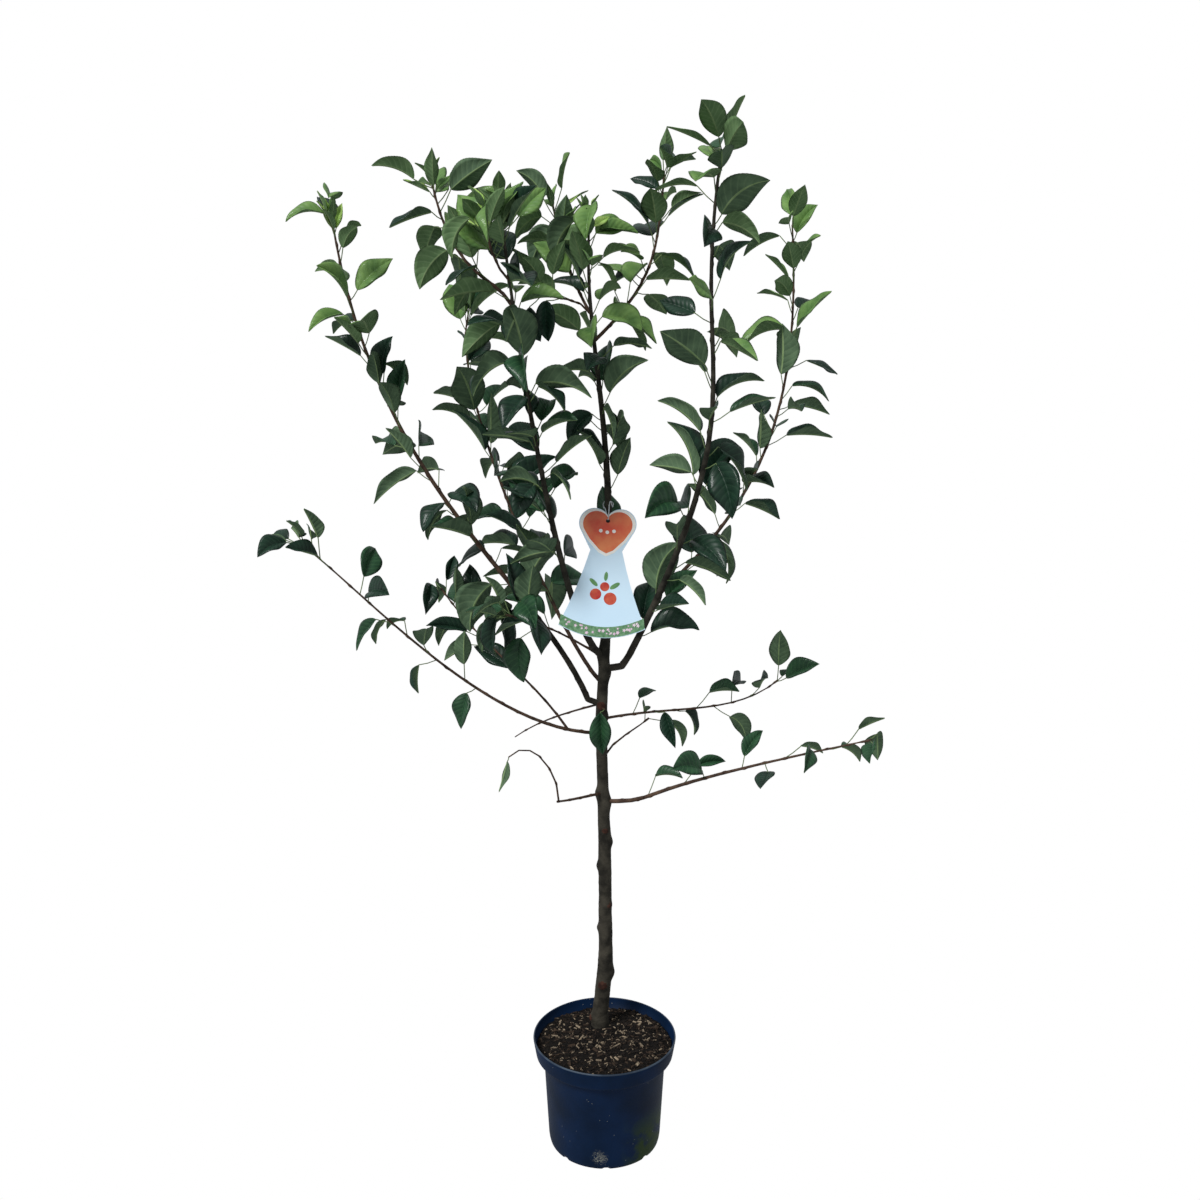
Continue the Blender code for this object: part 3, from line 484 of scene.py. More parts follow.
class Crown:
    """All the leaves that keep clear of the limbs and of each other."""

    def __init__(self):
        points, radii, names = [], [], []
        for name in SHOOTS:
            total = run(PATHS[name])[-1]
            for length in np.linspace(0, total, max(4, int(total / PROBE_STEP))):
                points.append(at(PATHS[name], length)[0])
                radii.append(stem_radius(name, length))
                names.append(name)
        for height in np.linspace(SOIL_TOP, TRUNK_PROBE_TOP, TRUNK_PROBES):
            points.append(trunk_at(height))
            radii.append(TRUNK_PROBE_RADIUS)
            names.append("trunk")
        up = np.array(TAG_HOLE) - np.array(TAG_HEM)
        self.tag_height = np.linalg.norm(up) + LOBE_RADIUS
        self.tag_up = unit(up)
        self.tag_side = unit(np.array([1.0, 0, 0]) - self.tag_up * self.tag_up[0])
        self.points = np.array(points)
        self.radii = np.array(radii)
        self.names = np.array(names)
        self.placed = []
        self.leaves = {}

    def hides_tag(self, probe):
        """The tag hangs free: no leaf touches it or comes between it and the viewer."""
        place = probe - np.array(TAG_HEM)
        along = place @ self.tag_up
        aside = np.abs(place @ self.tag_side)
        ahead = place @ np.cross(self.tag_side, self.tag_up)
        half = np.where(along < WAIST_HEIGHT, HEM_HALF + (WAIST_HALF - HEM_HALF) * along / WAIST_HEIGHT,
                        LOBE_OFFSET + LOBE_RADIUS)
        inside = (along > -TAG_ROOM) & (along < self.tag_height + TAG_ROOM) & (aside < half + TAG_ROOM)
        return (inside & (ahead > -TAG_ROOM)).any()

    def clear(self, probe, kind, name, share):
        gaps = np.linalg.norm(probe[:, None] - self.points[None], axis=2) - self.radii
        own = YOUNG_ROOM if kind in ("young", "upright") else OWN_ROOM
        if (gaps < np.where(self.names == name, own, LIMB_ROOM)).any():
            return False
        if self.hides_tag(probe):
            return False
        centre = probe.mean(axis=0)
        mass = SHOOTS[name].mass
        for other_mass, other_kind, other, middle in self.placed:
            if np.abs(middle - centre).max() > NEIGHBOURHOOD:
                continue
            room = LIMB_ROOM * share if other_mass == mass else MASS_ROOM
            if other_mass == mass and "young" in (kind, other_kind):
                room = YOUNG_ROOM
            if np.linalg.norm(probe[:, None] - other[None], axis=2).min() < room:
                return False
        return True

    def keep(self, name, length, turn, draw, size, kind, share=1.0):
        """Takes up a leaf if it finds room."""
        root, way = at(PATHS[name], length)
        leaf = Leaf(root, way, turn, draw, size, kind)
        probe = leaf.probe()
        if self.clear(probe, kind, name, share):
            self.placed.append((SHOOTS[name].mass, kind, probe, probe.mean(axis=0)))
            self.leaves[name].append(leaf)

    def grow(self, name):
        shoot = SHOOTS[name]
        draws = random.Random(shoot.seed)
        phase = draws.random() * 2 * pi
        self.leaves[name] = []
        for j, (kind, length, size) in enumerate(buds(name)):
            draw = [draws.random() for _ in range(LEAF_DRAWS)]
            if kind == "mature" and shoot.leaf:
                length += shoot.gap * BUD_JITTER * (draw[0] - 0.5)
            if draw[11] >= HABITS[kind].fall:
                self.keep(name, length, phase + LEAF_TURN * j, draw, size, kind)

    def fill(self, name):
        """Leaves of the spurs between the first ones, as far as they find room."""
        shoot = SHOOTS[name]
        draws = random.Random(shoot.seed)
        phase = draws.random() * 2 * pi + pi / 2
        for j, (kind, length, size) in enumerate(buds(name)):
            draw = [draws.random() for _ in range(LEAF_DRAWS)]
            if kind == "mature" and shoot.leaf and (j % 2 == 0 or shoot.mass in FULL_MASSES):
                self.keep(name, length + shoot.gap / 2, phase + LEAF_TURN * j, draw, size, kind, FILL_SHARE)


crown = Crown()
LEAFY = [name for name, shoot in SHOOTS.items() if shoot.mass]
for name in LEAFY:
    crown.grow(name)
for name in LEAFY:
    if SHOOTS[name].tip[2] > FULL_FROM:
        crown.fill(name)


# Wood
# Young apple bark: grey-brown and smooth, redder on the thin limbs, with raised buds and pruning scars
BARK = surface("bark_wood", "#211f1a", "#454138", 0.86, 60, 0.0012, fine=420)
YOUNG_BARK = surface("young_bark_wood", "#33251e", "#5e493a", 0.7, 90, 0.0006, fine=500)
SCAR = surface("scar_wood", "#2c1a15", "#54362a", 0.9, 120, 0.0008)
THIN_LIMB = 0.0045
RINGS_PER_METRE = 420
WOOD_STEP = 0.02
COARSE_GRAIN = 55
FINE_GRAIN = 190
BARK_RELIEF = 0.05
TWIG_RELIEF = 0.06
SPOT_REACH = 3
SCAR_REACH = 0.8
# A raised spot: length along its limb, turn round it, height and spread, and if it is a scar
Spot = namedtuple("Spot", "place turn height spread scar")
BUD = Spot(0, 0, 0.0011, 0.0032, False)
OLD_BUD = Spot(0, 0, 0.0009, 0.0028, False)
OLD_BUD_START = 0.03
OLD_BUD_GAP = 0.028


def from_spot(spot, s, turn, radius):
    """The squared distance on the bark from a spot to a place."""
    aside = atan2(sin(turn - spot.turn), cos(turn - spot.turn)) * radius
    return (s - spot.place) ** 2 + aside * aside


def ways_out(side, way, sides):
    """The side of a path's next ring, and the turns round it with their ways out."""
    side = unit(side - way * np.dot(side, way))
    other = np.cross(way, side)
    turns = [2 * pi * j / sides for j in range(sides)]
    return side, [(turn, side * cos(turn) + other * sin(turn)) for turn in turns]


def tube_faces(first, rings, sides):
    """The faces along a tube and at its two ends, from the number of its first point."""
    last = first + rings * sides
    faces = []
    for a in range(first, last, sides):
        for j in range(sides):
            b = a + (j + 1) % sides
            faces.append((a + j, b, b + sides, a + j + sides))
    return faces + [tuple(range(first, first + sides))[::-1], tuple(range(last, last + sides))]


def limb(name, path, radii, rings, sides, spots, relief, mats):
    """A round tapered limb with bark relief and raised spots."""
    lengths = run(path)
    side = unit(np.cross(path[1] - path[0], (0.2, 1.0, 0.1)))
    points, choice = [], []
    for k in range(rings + 1):
        s = lengths[-1] * k / rings
        centre, way = at(path, s)
        side, ways = ways_out(side, way, sides)
        radius = float(np.interp(s, lengths, radii))
        for turn, out in ways:
            grain = Vector(centre + out * radius)
            size = radius + relief * radius * (noise.noise(grain * COARSE_GRAIN)
                                               + 0.5 * noise.noise(grain * FINE_GRAIN))
            for spot in spots:
                if abs(s - spot.place) < SPOT_REACH * spot.spread:
                    size += spot.height * exp(-from_spot(spot, s, turn, radius) / spot.spread ** 2)
            points.append(centre + out * size)
    for k in range(rings):
        s = lengths[-1] * (k + 0.5) / rings
        radius = float(np.interp(s, lengths, radii))
        for j in range(sides):
            turn = 2 * pi * (j + 0.5) / sides
            choice.append(int(any(
                spot.scar and from_spot(spot, s, turn, radius) < (SCAR_REACH * spot.spread) ** 2
                for spot in spots)))
    return solid(name, points, tube_faces(0, rings, sides), mats, choice + [0, 0])


# Knots and pruning scars of the trunk, from its foot up. FRONT is the turn that faces the viewer;
# smaller turns are to its left and larger ones to its right.
FRONT = 1.6
KNOTS = [Spot(*knot) for knot in (
    (0.018, FRONT - 1.2, 0.005, 0.007, True), (0.082, FRONT, 0.0035, 0.009, True),
    (0.100, FRONT + 1.6, 0.003, 0.010, False), (0.180, FRONT - 1.4, 0.0035, 0.007, False),
    (0.222, FRONT + 0.9, 0.003, 0.006, True), (0.288, FRONT - 1.5, 0.003, 0.008, False),
    (0.330, FRONT + 1.5, 0.003, 0.008, False), (0.352, FRONT + 0.3, 0.0028, 0.006, True),
    (0.398, FRONT + 1.5, 0.004, 0.012, False), (0.412, FRONT - 1.6, 0.004, 0.010, False),
    (0.512, FRONT - 1.4, 0.004, 0.012, False), (0.540, FRONT + 1.4, 0.003, 0.008, False),
    (0.560, FRONT, 0.003, 0.008, True), (0.612, FRONT + 1.5, 0.004, 0.012, False),
    (0.640, FRONT - 1.5, 0.004, 0.012, False))]
LEADER_FOOT = 0.012
LEADER_POINTS = 12
TRUNK_RINGS = 420
TRUNK_SIDES = 40
leader_lengths = np.linspace(LEADER_FOOT, bare_length("leader"), LEADER_POINTS)
trunk_path = [np.array([s.x, s.y, s.height]) for s in TRUNK]
trunk_path[1][:2] = trunk_path[0][:2]
trunk_path = np.array(trunk_path + [at(PATHS["leader"], x)[0] for x in leader_lengths])
trunk_radii = [s.radius for s in TRUNK]
trunk_radii += [min(stem_radius("leader", x), TRUNK[-1].radius) for x in leader_lengths]
trunk = limb("trunk_bark", trunk_path, trunk_radii, TRUNK_RINGS, TRUNK_SIDES, KNOTS, BARK_RELIEF,
             (BARK, SCAR))
finish(trunk, "bark", "trunk")


def limb_of(prefix, name, start, end, sides, relief):
    """The wood of one shoot between two lengths, with a raised bud base under each leaf."""
    lengths = np.linspace(start, end, max(4, int((end - start) / WOOD_STEP)))
    path = np.array([at(PATHS[name], x)[0] for x in lengths])
    radii = [stem_radius(name, x) for x in lengths]
    rings = max(8, int((end - start) * RINGS_PER_METRE))
    spots = []
    turn = 0.0
    for kind, place, _ in buds(name):
        turn += LEAF_TURN
        if start < place < end and kind == "mature":
            spots.append(BUD._replace(place=place - start, turn=turn))
    place = start + OLD_BUD_START
    while place < min(end, bare_length(name)):
        turn += LEAF_TURN
        spots.append(OLD_BUD._replace(place=place - start, turn=turn))
        place += OLD_BUD_GAP
    bark = YOUNG_BARK if stem_radius(name, start) < THIN_LIMB else BARK
    return limb(prefix + name, path, radii, rings, sides, spots, relief, (bark, SCAR))


# A bough starts a little way inside the trunk
BOUGH_SUNK = 0.4 * TRUNK[-1].radius
BOUGH_SIDES = 16
for name, shoot in SHOOTS.items():
    if shoot.bare and name not in ("leader", "leader_spur"):
        foot = BOUGH_SUNK if shoot.on == "trunk" else 0.0
        bough = limb_of("bark_", name, foot, bare_length(name), BOUGH_SIDES, BARK_RELIEF)
        finish(bough, "bark", "bough_" + name)

# Leaves
# Oval toothed blades, folded along a pale midrib, dark above and paler grey-green beneath
VEIN_THIN = 9.0
VEIN_PALE = 0.30


def blade(name, low, high, roughness, vein, coat):
    """Leaf skin: soft blotches, pale side veins that rise towards the tip and a quilted relief."""
    mat = surface(name, low, high, roughness, 45, coat=coat)
    tree = mat.node_tree
    shader = tree.nodes["Principled BSDF"]
    base = shader.inputs["Base Color"].links[0].from_socket
    place = tree.nodes.new("ShaderNodeUVMap").outputs["UV"]
    wave = add_node(tree, "ShaderNodeTexWave", {"Vector": place, "Scale": 2.6, "Distortion": 0.6,
                                                "Detail": 1.0}, bands_direction="X", wave_profile="SIN")
    thin = formula(tree, "POWER", wave.outputs["Fac"], VEIN_THIN)
    veined = cover(tree, formula(tree, "MULTIPLY", thin, VEIN_PALE), base, srgb(vein))
    tree.links.new(veined, shader.inputs["Base Color"])
    quilt = {"Height": wave.outputs["Fac"], "Distance": 0.0006, "Strength": 0.5}
    bump = add_node(tree, "ShaderNodeBump", quilt, invert=True)
    tree.links.new(bump.outputs["Normal"], shader.inputs["Normal"])
    return mat


# The light upper and underside skins are the pale tone of young and upright leaves, and painted light on
# mature leaves at the top of the crown
SKINS = [blade("leaf_upper_dark", "#15291f", "#203c2d", 0.42, "#35523c", 0.12),
         blade("leaf_upper_fresh", "#1f3d29", "#2f5538", 0.42, "#4a7048", 0.12),
         blade("leaf_upper_light", "#577c42", "#7a9d56", 0.45, "#6d935a", 0.1),
         blade("leaf_young", "#8fb656", "#b6d27a", 0.5, "#95b96c", 0.05),
         blade("leaf_underside", "#455b44", "#5f7859", 0.75, "#748b68", 0.0),
         blade("leaf_underside_light", "#536f48", "#6b885b", 0.75, "#8aa678", 0.0),
         surface("leaf_midrib", "#75905f", "#8ea474", 0.6, 80)]
DARK, FRESH, LIGHT, YOUNG, UNDER, UNDER_LIGHT, MIDRIB = range(7)
STALK = surface("leaf_stalk", "#566c42", "#7a8e5e", 0.6, 90)
ALONG = np.concatenate([[0.0], np.linspace(0.03, 0.97, 38), [1.0]])
ACROSS = np.array([-1, -0.72, -0.38, -0.06, 0, 0.06, 0.38, 0.72, 1])
TOOTH = 0.008
FULLNESS = 1.16
SKIN = 0.0004
RIB_SUNK = 0.0005
RIB_RAISED = 0.0010
RIPPLE = 0.035
RIPPLE_LEAST = 0.4
RIPPLE_CURVE = 1.5
RIPPLE_TURNS = 9
RIPPLE_SHIFT = 1.3
BULGE = 0.12
TWIST = 0.5
FULL_TURN = 6.28
VEIN_SLANT = 0.20
VEIN_SPREAD = 0.3
# Mature leaves above this height are painted lighter, as sunlight on the top of the crown, as far as the
# draw is over the share
SUNLIT_TOP_FROM = 1.26
DARK_NEAR_TOP = 0.35
YOUNG_SHARE = 0.8
UPRIGHT_LIGHT = 0.45
DARK_SHARE = 0.62


def skins_of(leaf, chance):
    """Upper side and underside, by the leaf's habit, its height (painted light on the top of the crown) and
    one draw.
    """
    # Painted light: mature leaves high in the crown take the light upper and underside skins
    if leaf.kind == "mature" and leaf.root[2] > SUNLIT_TOP_FROM and chance > DARK_NEAR_TOP:
        return LIGHT, UNDER_LIGHT
    if leaf.kind == "young":
        return (YOUNG if chance < YOUNG_SHARE else LIGHT), UNDER_LIGHT
    if leaf.kind == "upright":
        return (LIGHT if chance < UPRIGHT_LIGHT else FRESH), UNDER_LIGHT
    return (DARK if chance < DARK_SHARE else FRESH), UNDER


def blade_mesh(leaf, waves, points, faces, choice, uvs):
    """One closed leaf: a toothed, gently waved upper side and its underside, joined at the edge."""
    rows = leaf.ribs(ALONG)
    first = len(points)
    top, under = skins_of(leaf, waves.random())
    phase = waves.random() * FULL_TURN
    ripple = RIPPLE * leaf.length * (RIPPLE_LEAST + waves.random())
    twist = waves.uniform(-TWIST, TWIST)
    n = len(ACROSS)
    for side in (1, -1):
        for i, (u, (point, across, up)) in enumerate(zip(ALONG, rows)):
            inner = 0 < u < 1
            tooth = TOOTH if i % 2 else -TOOTH
            width = leaf.half * FULLNESS * half_width(u) * (1 + tooth) if inner else SKIN
            for v in ACROSS:
                turn = RIPPLE_TURNS * u + phase + (RIPPLE_SHIFT if v > 0 else 0)
                lift = abs(v) * width * sin(leaf.fold)
                lift += ripple * abs(v) ** RIPPLE_CURVE * sin(turn) * sin(pi * u)
                lift += BULGE * width * (1 - (2 * abs(v) - 1) ** 2)
                lift += twist * u * v * width
                if abs(v) < 1 and inner:
                    lift += side * SKIN / 2
                if v == 0 and inner:
                    lift -= RIB_SUNK if side > 0 else RIB_RAISED
                points.append(point + across * (v * width * cos(leaf.fold)) + up * lift)
                uvs.append((u - VEIN_SLANT * abs(v), abs(v) * VEIN_SPREAD))
    half = len(ALONG) * n

    def index(side, i, j):
        if side and j not in (0, n - 1) and 0 < i < len(ALONG) - 1:
            return first + half + i * n + j
        return first + i * n + j

    for side in (0, 1):
        for i in range(len(ALONG) - 1):
            for j in range(n - 1):
                corners = ((i, j), (i, j + 1), (i + 1, j + 1), (i + 1, j))
                quad = [index(side, *corner) for corner in corners]
                faces.append(quad[::-1] if side else quad)
                rib = ACROSS[j] * ACROSS[j + 1] == 0
                choice.append(MIDRIB if rib and side else (under if side else top))


STALK_SIDES = 5
STALK_RADIUS = 0.0008
STALK_SAG = 0.0012
STALK_END = 0.04


def stalk_mesh(leaf, points, faces):
    """A thin round stalk from the twig to the foot of the blade."""
    middle = leaf.root + (leaf.end - leaf.root) * 0.5 - np.array([0, 0, STALK_SAG])
    path = [leaf.root, middle, leaf.end, leaf.ribs((STALK_END,))[0][0]]
    side = unit(np.cross(path[1] - path[0], (0.3, 0.2, 1)))
    faces += tube_faces(len(points), len(path) - 1, STALK_SIDES)
    for before, place, after in zip(path[:1] + path, path, path[1:] + path[-1:]):
        side, ways = ways_out(side, unit(after - before), STALK_SIDES)
        points += [place + out * STALK_RADIUS for _, out in ways]


TWIG_SIDES = 10
masses = {}
for name in LEAFY:
    masses.setdefault(SHOOTS[name].mass, []).append(name)
waves = random.Random(12)
for mass, names in masses.items():
    points, faces, choice, uvs = [], [], [], []
    stalk_points, stalk_faces = [], []
    for name in names:
        for leaf in crown.leaves[name]:
            blade_mesh(leaf, waves, points, faces, choice, uvs)
            stalk_mesh(leaf, stalk_points, stalk_faces)
    foliage = solid("foliage_" + mass, points, faces, SKINS, choice)
    layer = foliage.data.uv_layers.new(name="veins")
    corners = np.empty(len(foliage.data.loops), dtype=np.int32)
    foliage.data.loops.foreach_get("vertex_index", corners)
    layer.data.foreach_set("uv", np.array(uvs, dtype=np.float32)[corners].ravel())
    work = bmesh.new()
    work.from_mesh(foliage.data)
    bmesh.ops.delete(work, geom=[v for v in work.verts if not v.link_faces], context="VERTS")
    work.to_mesh(foliage.data)
    work.free()
    finish(foliage, "foliage", "leaves_" + mass)
    stalks = solid("stalks_" + mass, stalk_points, stalk_faces, [STALK])
    finish(stalks, "foliage")
    for name in names:
        start = bare_length(name) if name == names[0] else 0.0
        twig = limb_of("twig_", name, start, run(PATHS[name])[-1], TWIG_SIDES, TWIG_RELIEF)
        finish(twig, "foliage")

# Pot
# A moulded nursery pot, dark blue, with a tall stepped rim band whose top edge is painted pale as a
# highlight. Algae mark its lower right side, pale specks are strewn over it, and it is scuffed low in
# front.
ALGAE_RIGHT = (0.025, 0.06)
ALGAE_LOW = (0.090, 0.045)
ALGAE_SPOTS = (0.40, 0.54)
SPECK_SIZE = 0.07
SPECKS_OVER = 0.56
SCUFF_PLACE = (-0.008, -0.090, 0.022)
SCUFF_REACH = (0.040, 0.006)
SCUFF_FLECKS = (0.46, 0.56)
POT_SKIN = surface("pot_matte_plastic", "#05182f", "#0a2344", 0.5, 14, 0.0003, fine=300)
# Painted highlight: a pale grey-blue for the top edge of the lip, where the light catches it
RIM_HIGHLIGHT = surface("rim_painted_highlight_matte_plastic", "#2b3644", "#465362", 0.35, 40)
tree = POT_SKIN.node_tree
shader = tree.nodes["Principled BSDF"]
shader.inputs["Specular IOR Level"].default_value = 0.08
skin = shader.inputs["Base Color"].links[0].from_socket
place = tree.nodes.new("ShaderNodeTexCoord").outputs["Object"]
axes = add_node(tree, "ShaderNodeSeparateXYZ", {0: place})
corner = formula(tree, "MULTIPLY", between(tree, axes.outputs["X"], ALGAE_RIGHT),
                 between(tree, axes.outputs["Z"], ALGAE_LOW))
blotches = between(tree, cloud(tree, place, scale=38.0, detail=8.0), ALGAE_SPOTS)
algae = formula(tree, "MULTIPLY", corner, blotches)
skin = cover(tree, algae, skin, srgb("#2c3d20"))
speck = add_node(tree, "ShaderNodeTexVoronoi", {"Vector": place, "Scale": 130.0})
dots = formula(tree, "LESS_THAN", speck.outputs["Distance"], SPECK_SIZE)
some = formula(tree, "GREATER_THAN", cloud(tree, place, scale=16.0, detail=2.0), SPECKS_OVER)
skin = cover(tree, formula(tree, "MULTIPLY", dots, some), skin, srgb("#9a9a92"))
away = add_node(tree, "ShaderNodeVectorMath", {0: place, 1: SCUFF_PLACE}, operation="DISTANCE")
worn = formula(tree, "MULTIPLY", between(tree, away.outputs["Value"], SCUFF_REACH),
               cloud(tree, place, scale=640.0, detail=3.0))
skin = cover(tree, between(tree, worn, SCUFF_FLECKS), skin, srgb("#7f8078"))
tree.links.new(skin, shader.inputs["Base Color"])

OUT, _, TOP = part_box("pot")[1]
LEDGE = TOP - 0.030
DRAFT = 0.005
WALL = 0.002
FOOT = 0.090
BODY = 0.099
# Radius and height from the middle of the floor up the inside, over the lip and down to the underside
PROFILE = [(0, WALL), (FOOT - WALL, WALL), (BODY - WALL, LEDGE + WALL),
           (OUT - DRAFT - WALL, LEDGE + WALL), (OUT - 0.003, TOP - 0.002), (OUT - 0.0022, TOP - 0.0004),
           (OUT - 0.0012, TOP), (OUT - 0.0003, TOP - 0.0006), (OUT, TOP - 0.0020),
           (OUT - 0.0010, TOP - 0.008), (OUT - 0.0040, TOP - 0.0255),
           (OUT - DRAFT + 0.0003, LEDGE + 0.0014), (OUT - DRAFT - 0.0004, LEDGE + 0.0003),
           (OUT - DRAFT - 0.0016, LEDGE), (BODY + 0.0010, LEDGE - 0.0006),
           (BODY, LEDGE - 0.0020), (FOOT + 0.0016, 0.012), (FOOT + 0.0006, 0.005),
           (FOOT - 0.0004, 0.0012), (FOOT - WALL, 0), (0, 0)]
# The lip's top faces take the pale rim colour, a painted highlight
LIP_FACES = (5, 6, 7)
STEPS = 128
NOTCH_DEPTH = 0.0025
NOTCH_EVERY = 16


def ring_faces(lower, upper):
    """The faces between two rings, by the number of each ring's first point."""
    return [(lower + k, upper + k, upper + (k + 1) % STEPS, lower + (k + 1) % STEPS) for k in range(STEPS)]


points, faces, choice = [], [], []
for radius, height in PROFILE:
    at_foot = height < WALL and radius > FOOT / 2
    for k, (x, y) in enumerate(circle(0, 0, radius, STEPS)):
        notched = at_foot and k % NOTCH_EVERY in (0, 1)
        points.append((x, y, height + (NOTCH_DEPTH if notched else 0.0)))
for i in range(len(PROFILE) - 1):
    faces += ring_faces(i * STEPS, (i + 1) * STEPS)
    choice += [1 if i in LIP_FACES else 0] * STEPS
pot = solid("pot_shell", points, faces, (POT_SKIN, RIM_HIGHLIGHT), choice)
work = bmesh.new()
work.from_mesh(pot.data)
bmesh.ops.remove_doubles(work, verts=work.verts, dist=1e-6)
bmesh.ops.recalc_face_normals(work, faces=work.faces)
work.to_mesh(pot.data)
work.free()
finish(pot, "pot_plastic", "pot")

# Potting mix
# Dark moist mix, lumpy, with tan and brown bark chips and fibres pressed into its top
MIX = surface("potting_mix_soil", "#060505", "#17120f", 0.95, 220, 0.0015, fine=900)
CHIPS = [surface("chip_%s_wood" % tone, low, high, 0.9, 200) for tone, low, high in (
    ("tan", "#6d6152", "#9a8a74"), ("brown", "#2a211b", "#43362b"), ("dark", "#0f0c0a", "#1f1915"))]
CHIP_CHOICES = (0, 1, 1, 2, 2, 2, 2)
WALL_GAP = 0.0005
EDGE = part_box("soil")[1][0] - WALL_GAP
RINGS = 60
FLAT_SHARE = 0.8
EDGE_DROP = 0.005
LUMPS = 0.0028
LUMP_GRAIN = 60
CRUMBS = 0.0014
CRUMB_GRAIN = 210
MOUND_HEIGHT = 0.006
MOUND_SPREAD = 0.022
SKIRT_SHARE = 0.985
SKIRT_DEPTH = 0.014


def from_trunk(x, y):
    """The squared distance from the trunk's foot."""
    return (x - TRUNK[0].x) ** 2 + (y - TRUNK[0].y) ** 2


def mix_height(x, y, radius):
    """The lumpy top of the mix: it sinks towards the pot's wall and rises round the trunk."""
    height = SOIL_TOP - EDGE_DROP * max(0, radius / EDGE - FLAT_SHARE) / (1 - FLAT_SHARE)
    height += LUMPS * noise.noise(Vector((x, y, 0)) * LUMP_GRAIN)
    return height + MOUND_HEIGHT * exp(-from_trunk(x, y) / MOUND_SPREAD ** 2)


points, faces = [(0, 0, SOIL_TOP)], [(0, 1 + k, 1 + (k + 1) % STEPS) for k in range(STEPS)]
for i in range(1, RINGS + 1):
    radius = EDGE * i / RINGS
    for x, y in circle(0, 0, radius, STEPS):
        crumb = CRUMBS * noise.noise(Vector((x, y, 3)) * CRUMB_GRAIN)
        points.append((x, y, mix_height(x, y, radius) + crumb))
for i in range(RINGS - 1):
    faces += ring_faces(1 + i * STEPS, 1 + (i + 1) * STEPS)
last = 1 + (RINGS - 1) * STEPS
base_ring = len(points)
points += [(x * SKIRT_SHARE, y * SKIRT_SHARE, SOIL_TOP - SKIRT_DEPTH) for x, y, _ in points[last:]]
faces += ring_faces(last, base_ring)
faces.append(tuple(base_ring + k for k in range(STEPS))[::-1])
mix_top = solid("potting_mix_top", points, faces, [MIX])
finish(mix_top, "potting_mix", "soil")

CHIP_COUNT = 2600
CLEAR_OF_TRUNK = 0.016
CHIP_EDGE = 0.985
CHIP_LENGTH = (0.0010, 0.0044)
CHIP_WIDTH = (0.14, 0.42)
CHIP_THICKNESS = (0.12, 0.35)
CHIP_TILT = 0.5
CHIP_UNEVEN = (0.6, 1.0)
CHIP_RISE = 0.0006
LONG_SHARE = 0.12
LONG_FACTOR = 1.6
CHIP_FACES = ((0, 2, 3, 1), (4, 5, 7, 6), (0, 1, 5, 4), (2, 6, 7, 3), (0, 4, 6, 2), (1, 3, 7, 5))
litter = random.Random(5)
points, faces, choice = [], [], []
for _ in range(CHIP_COUNT):
    radius = EDGE * sqrt(litter.random()) * CHIP_EDGE
    turn = litter.random() * 2 * pi
    x, y = radius * cos(turn), radius * sin(turn)
    if from_trunk(x, y) < CLEAR_OF_TRUNK ** 2:
        continue
    long = litter.uniform(*CHIP_LENGTH) * (LONG_FACTOR if litter.random() < LONG_SHARE else 1)
    size = Vector((long, long * litter.uniform(*CHIP_WIDTH), long * litter.uniform(*CHIP_THICKNESS)))
    spin = Matrix.Rotation(litter.uniform(0, FULL_TURN), 3, "Z")
    spin = spin @ Matrix.Rotation(litter.uniform(-CHIP_TILT, CHIP_TILT), 3, "X")
    middle = Vector((x, y, mix_height(x, y, radius) + CHIP_RISE))
    first = len(points)
    for corner in range(8):
        way = [1 if corner >> b & 1 else -1 for b in range(3)]
        reach = Vector([way[b] * size[b] * litter.uniform(*CHIP_UNEVEN) for b in range(3)])
        points.append(middle + spin @ reach)
    faces += [tuple(first + c for c in face) for face in CHIP_FACES]
    choice += [litter.choice(CHIP_CHOICES)] * len(CHIP_FACES)
chips = solid("bark_chips", points, faces, CHIPS, choice, smooth=False)
finish(chips, "potting_mix")

# Hang tag
# A glossy die-cut card: a warm heart with a pale border above a pale blue skirt with a flowered hem.
# The art is a plain design of its own, with a sprig and small fruits, and it has no lettering.
HOLE_RADIUS = 0.0032
LOBE_DROP = 0.004
NOTCH_SHARE = 0.45
SKIRT_HOLLOW = 0.003
HEART_TURNS = range(146, -31, -8)
CARD_TURNS = range(142, -31, -6)
HEART_POINT = [(0.030, -0.028), (0.012, -0.047), (0.0, -0.053)]
HEART_MIDDLE = 0.01
hem = Vector(TAG_HEM)
to_hole = Vector(TAG_HOLE) - hem
tag_up = to_hole.normalized()
tag_right = (Vector((1, 0, 0)) - tag_up * tag_up.x).normalized()
tag_turn = Matrix((tag_right, tag_up, tag_right.cross(tag_up))).transposed().to_4x4()
TAG_PLACE = Matrix.Translation(hem) @ tag_turn
hole_height = to_hole.length
lobe_height = hole_height - LOBE_DROP
CARD_FRONT = 0.0005
LAYER = 0.00012


def plate(outline, low, high, mat, holes=()):
    """A flat outline between two heights off the card, as a mesh in the tag's place."""
    curve = bpy.data.curves.new("plate", "CURVE")
    curve.dimensions = "2D"
    curve.fill_mode = "BOTH"
    curve.extrude = (high - low) / 2
    for ring in (outline, *holes):
        spline = curve.splines.new("POLY")
        spline.points.add(len(ring) - 1)
        spline.use_cyclic_u = True
        for point, (x, y) in zip(spline.points, ring):
            point.co = (x, y, 0, 1)
    obj = add_object("plate", curve)
    bpy.context.view_layer.update()
    mesh = bpy.data.meshes.new_from_object(obj.evaluated_get(bpy.context.evaluated_depsgraph_get()))
    mesh.transform(TAG_PLACE @ Matrix.Translation((0, 0, (high + low) / 2)))
    bpy.data.objects.remove(obj, do_unlink=True)
    mesh.materials.clear()
    mesh.materials.append(mat)
    return add_object("plate", mesh)


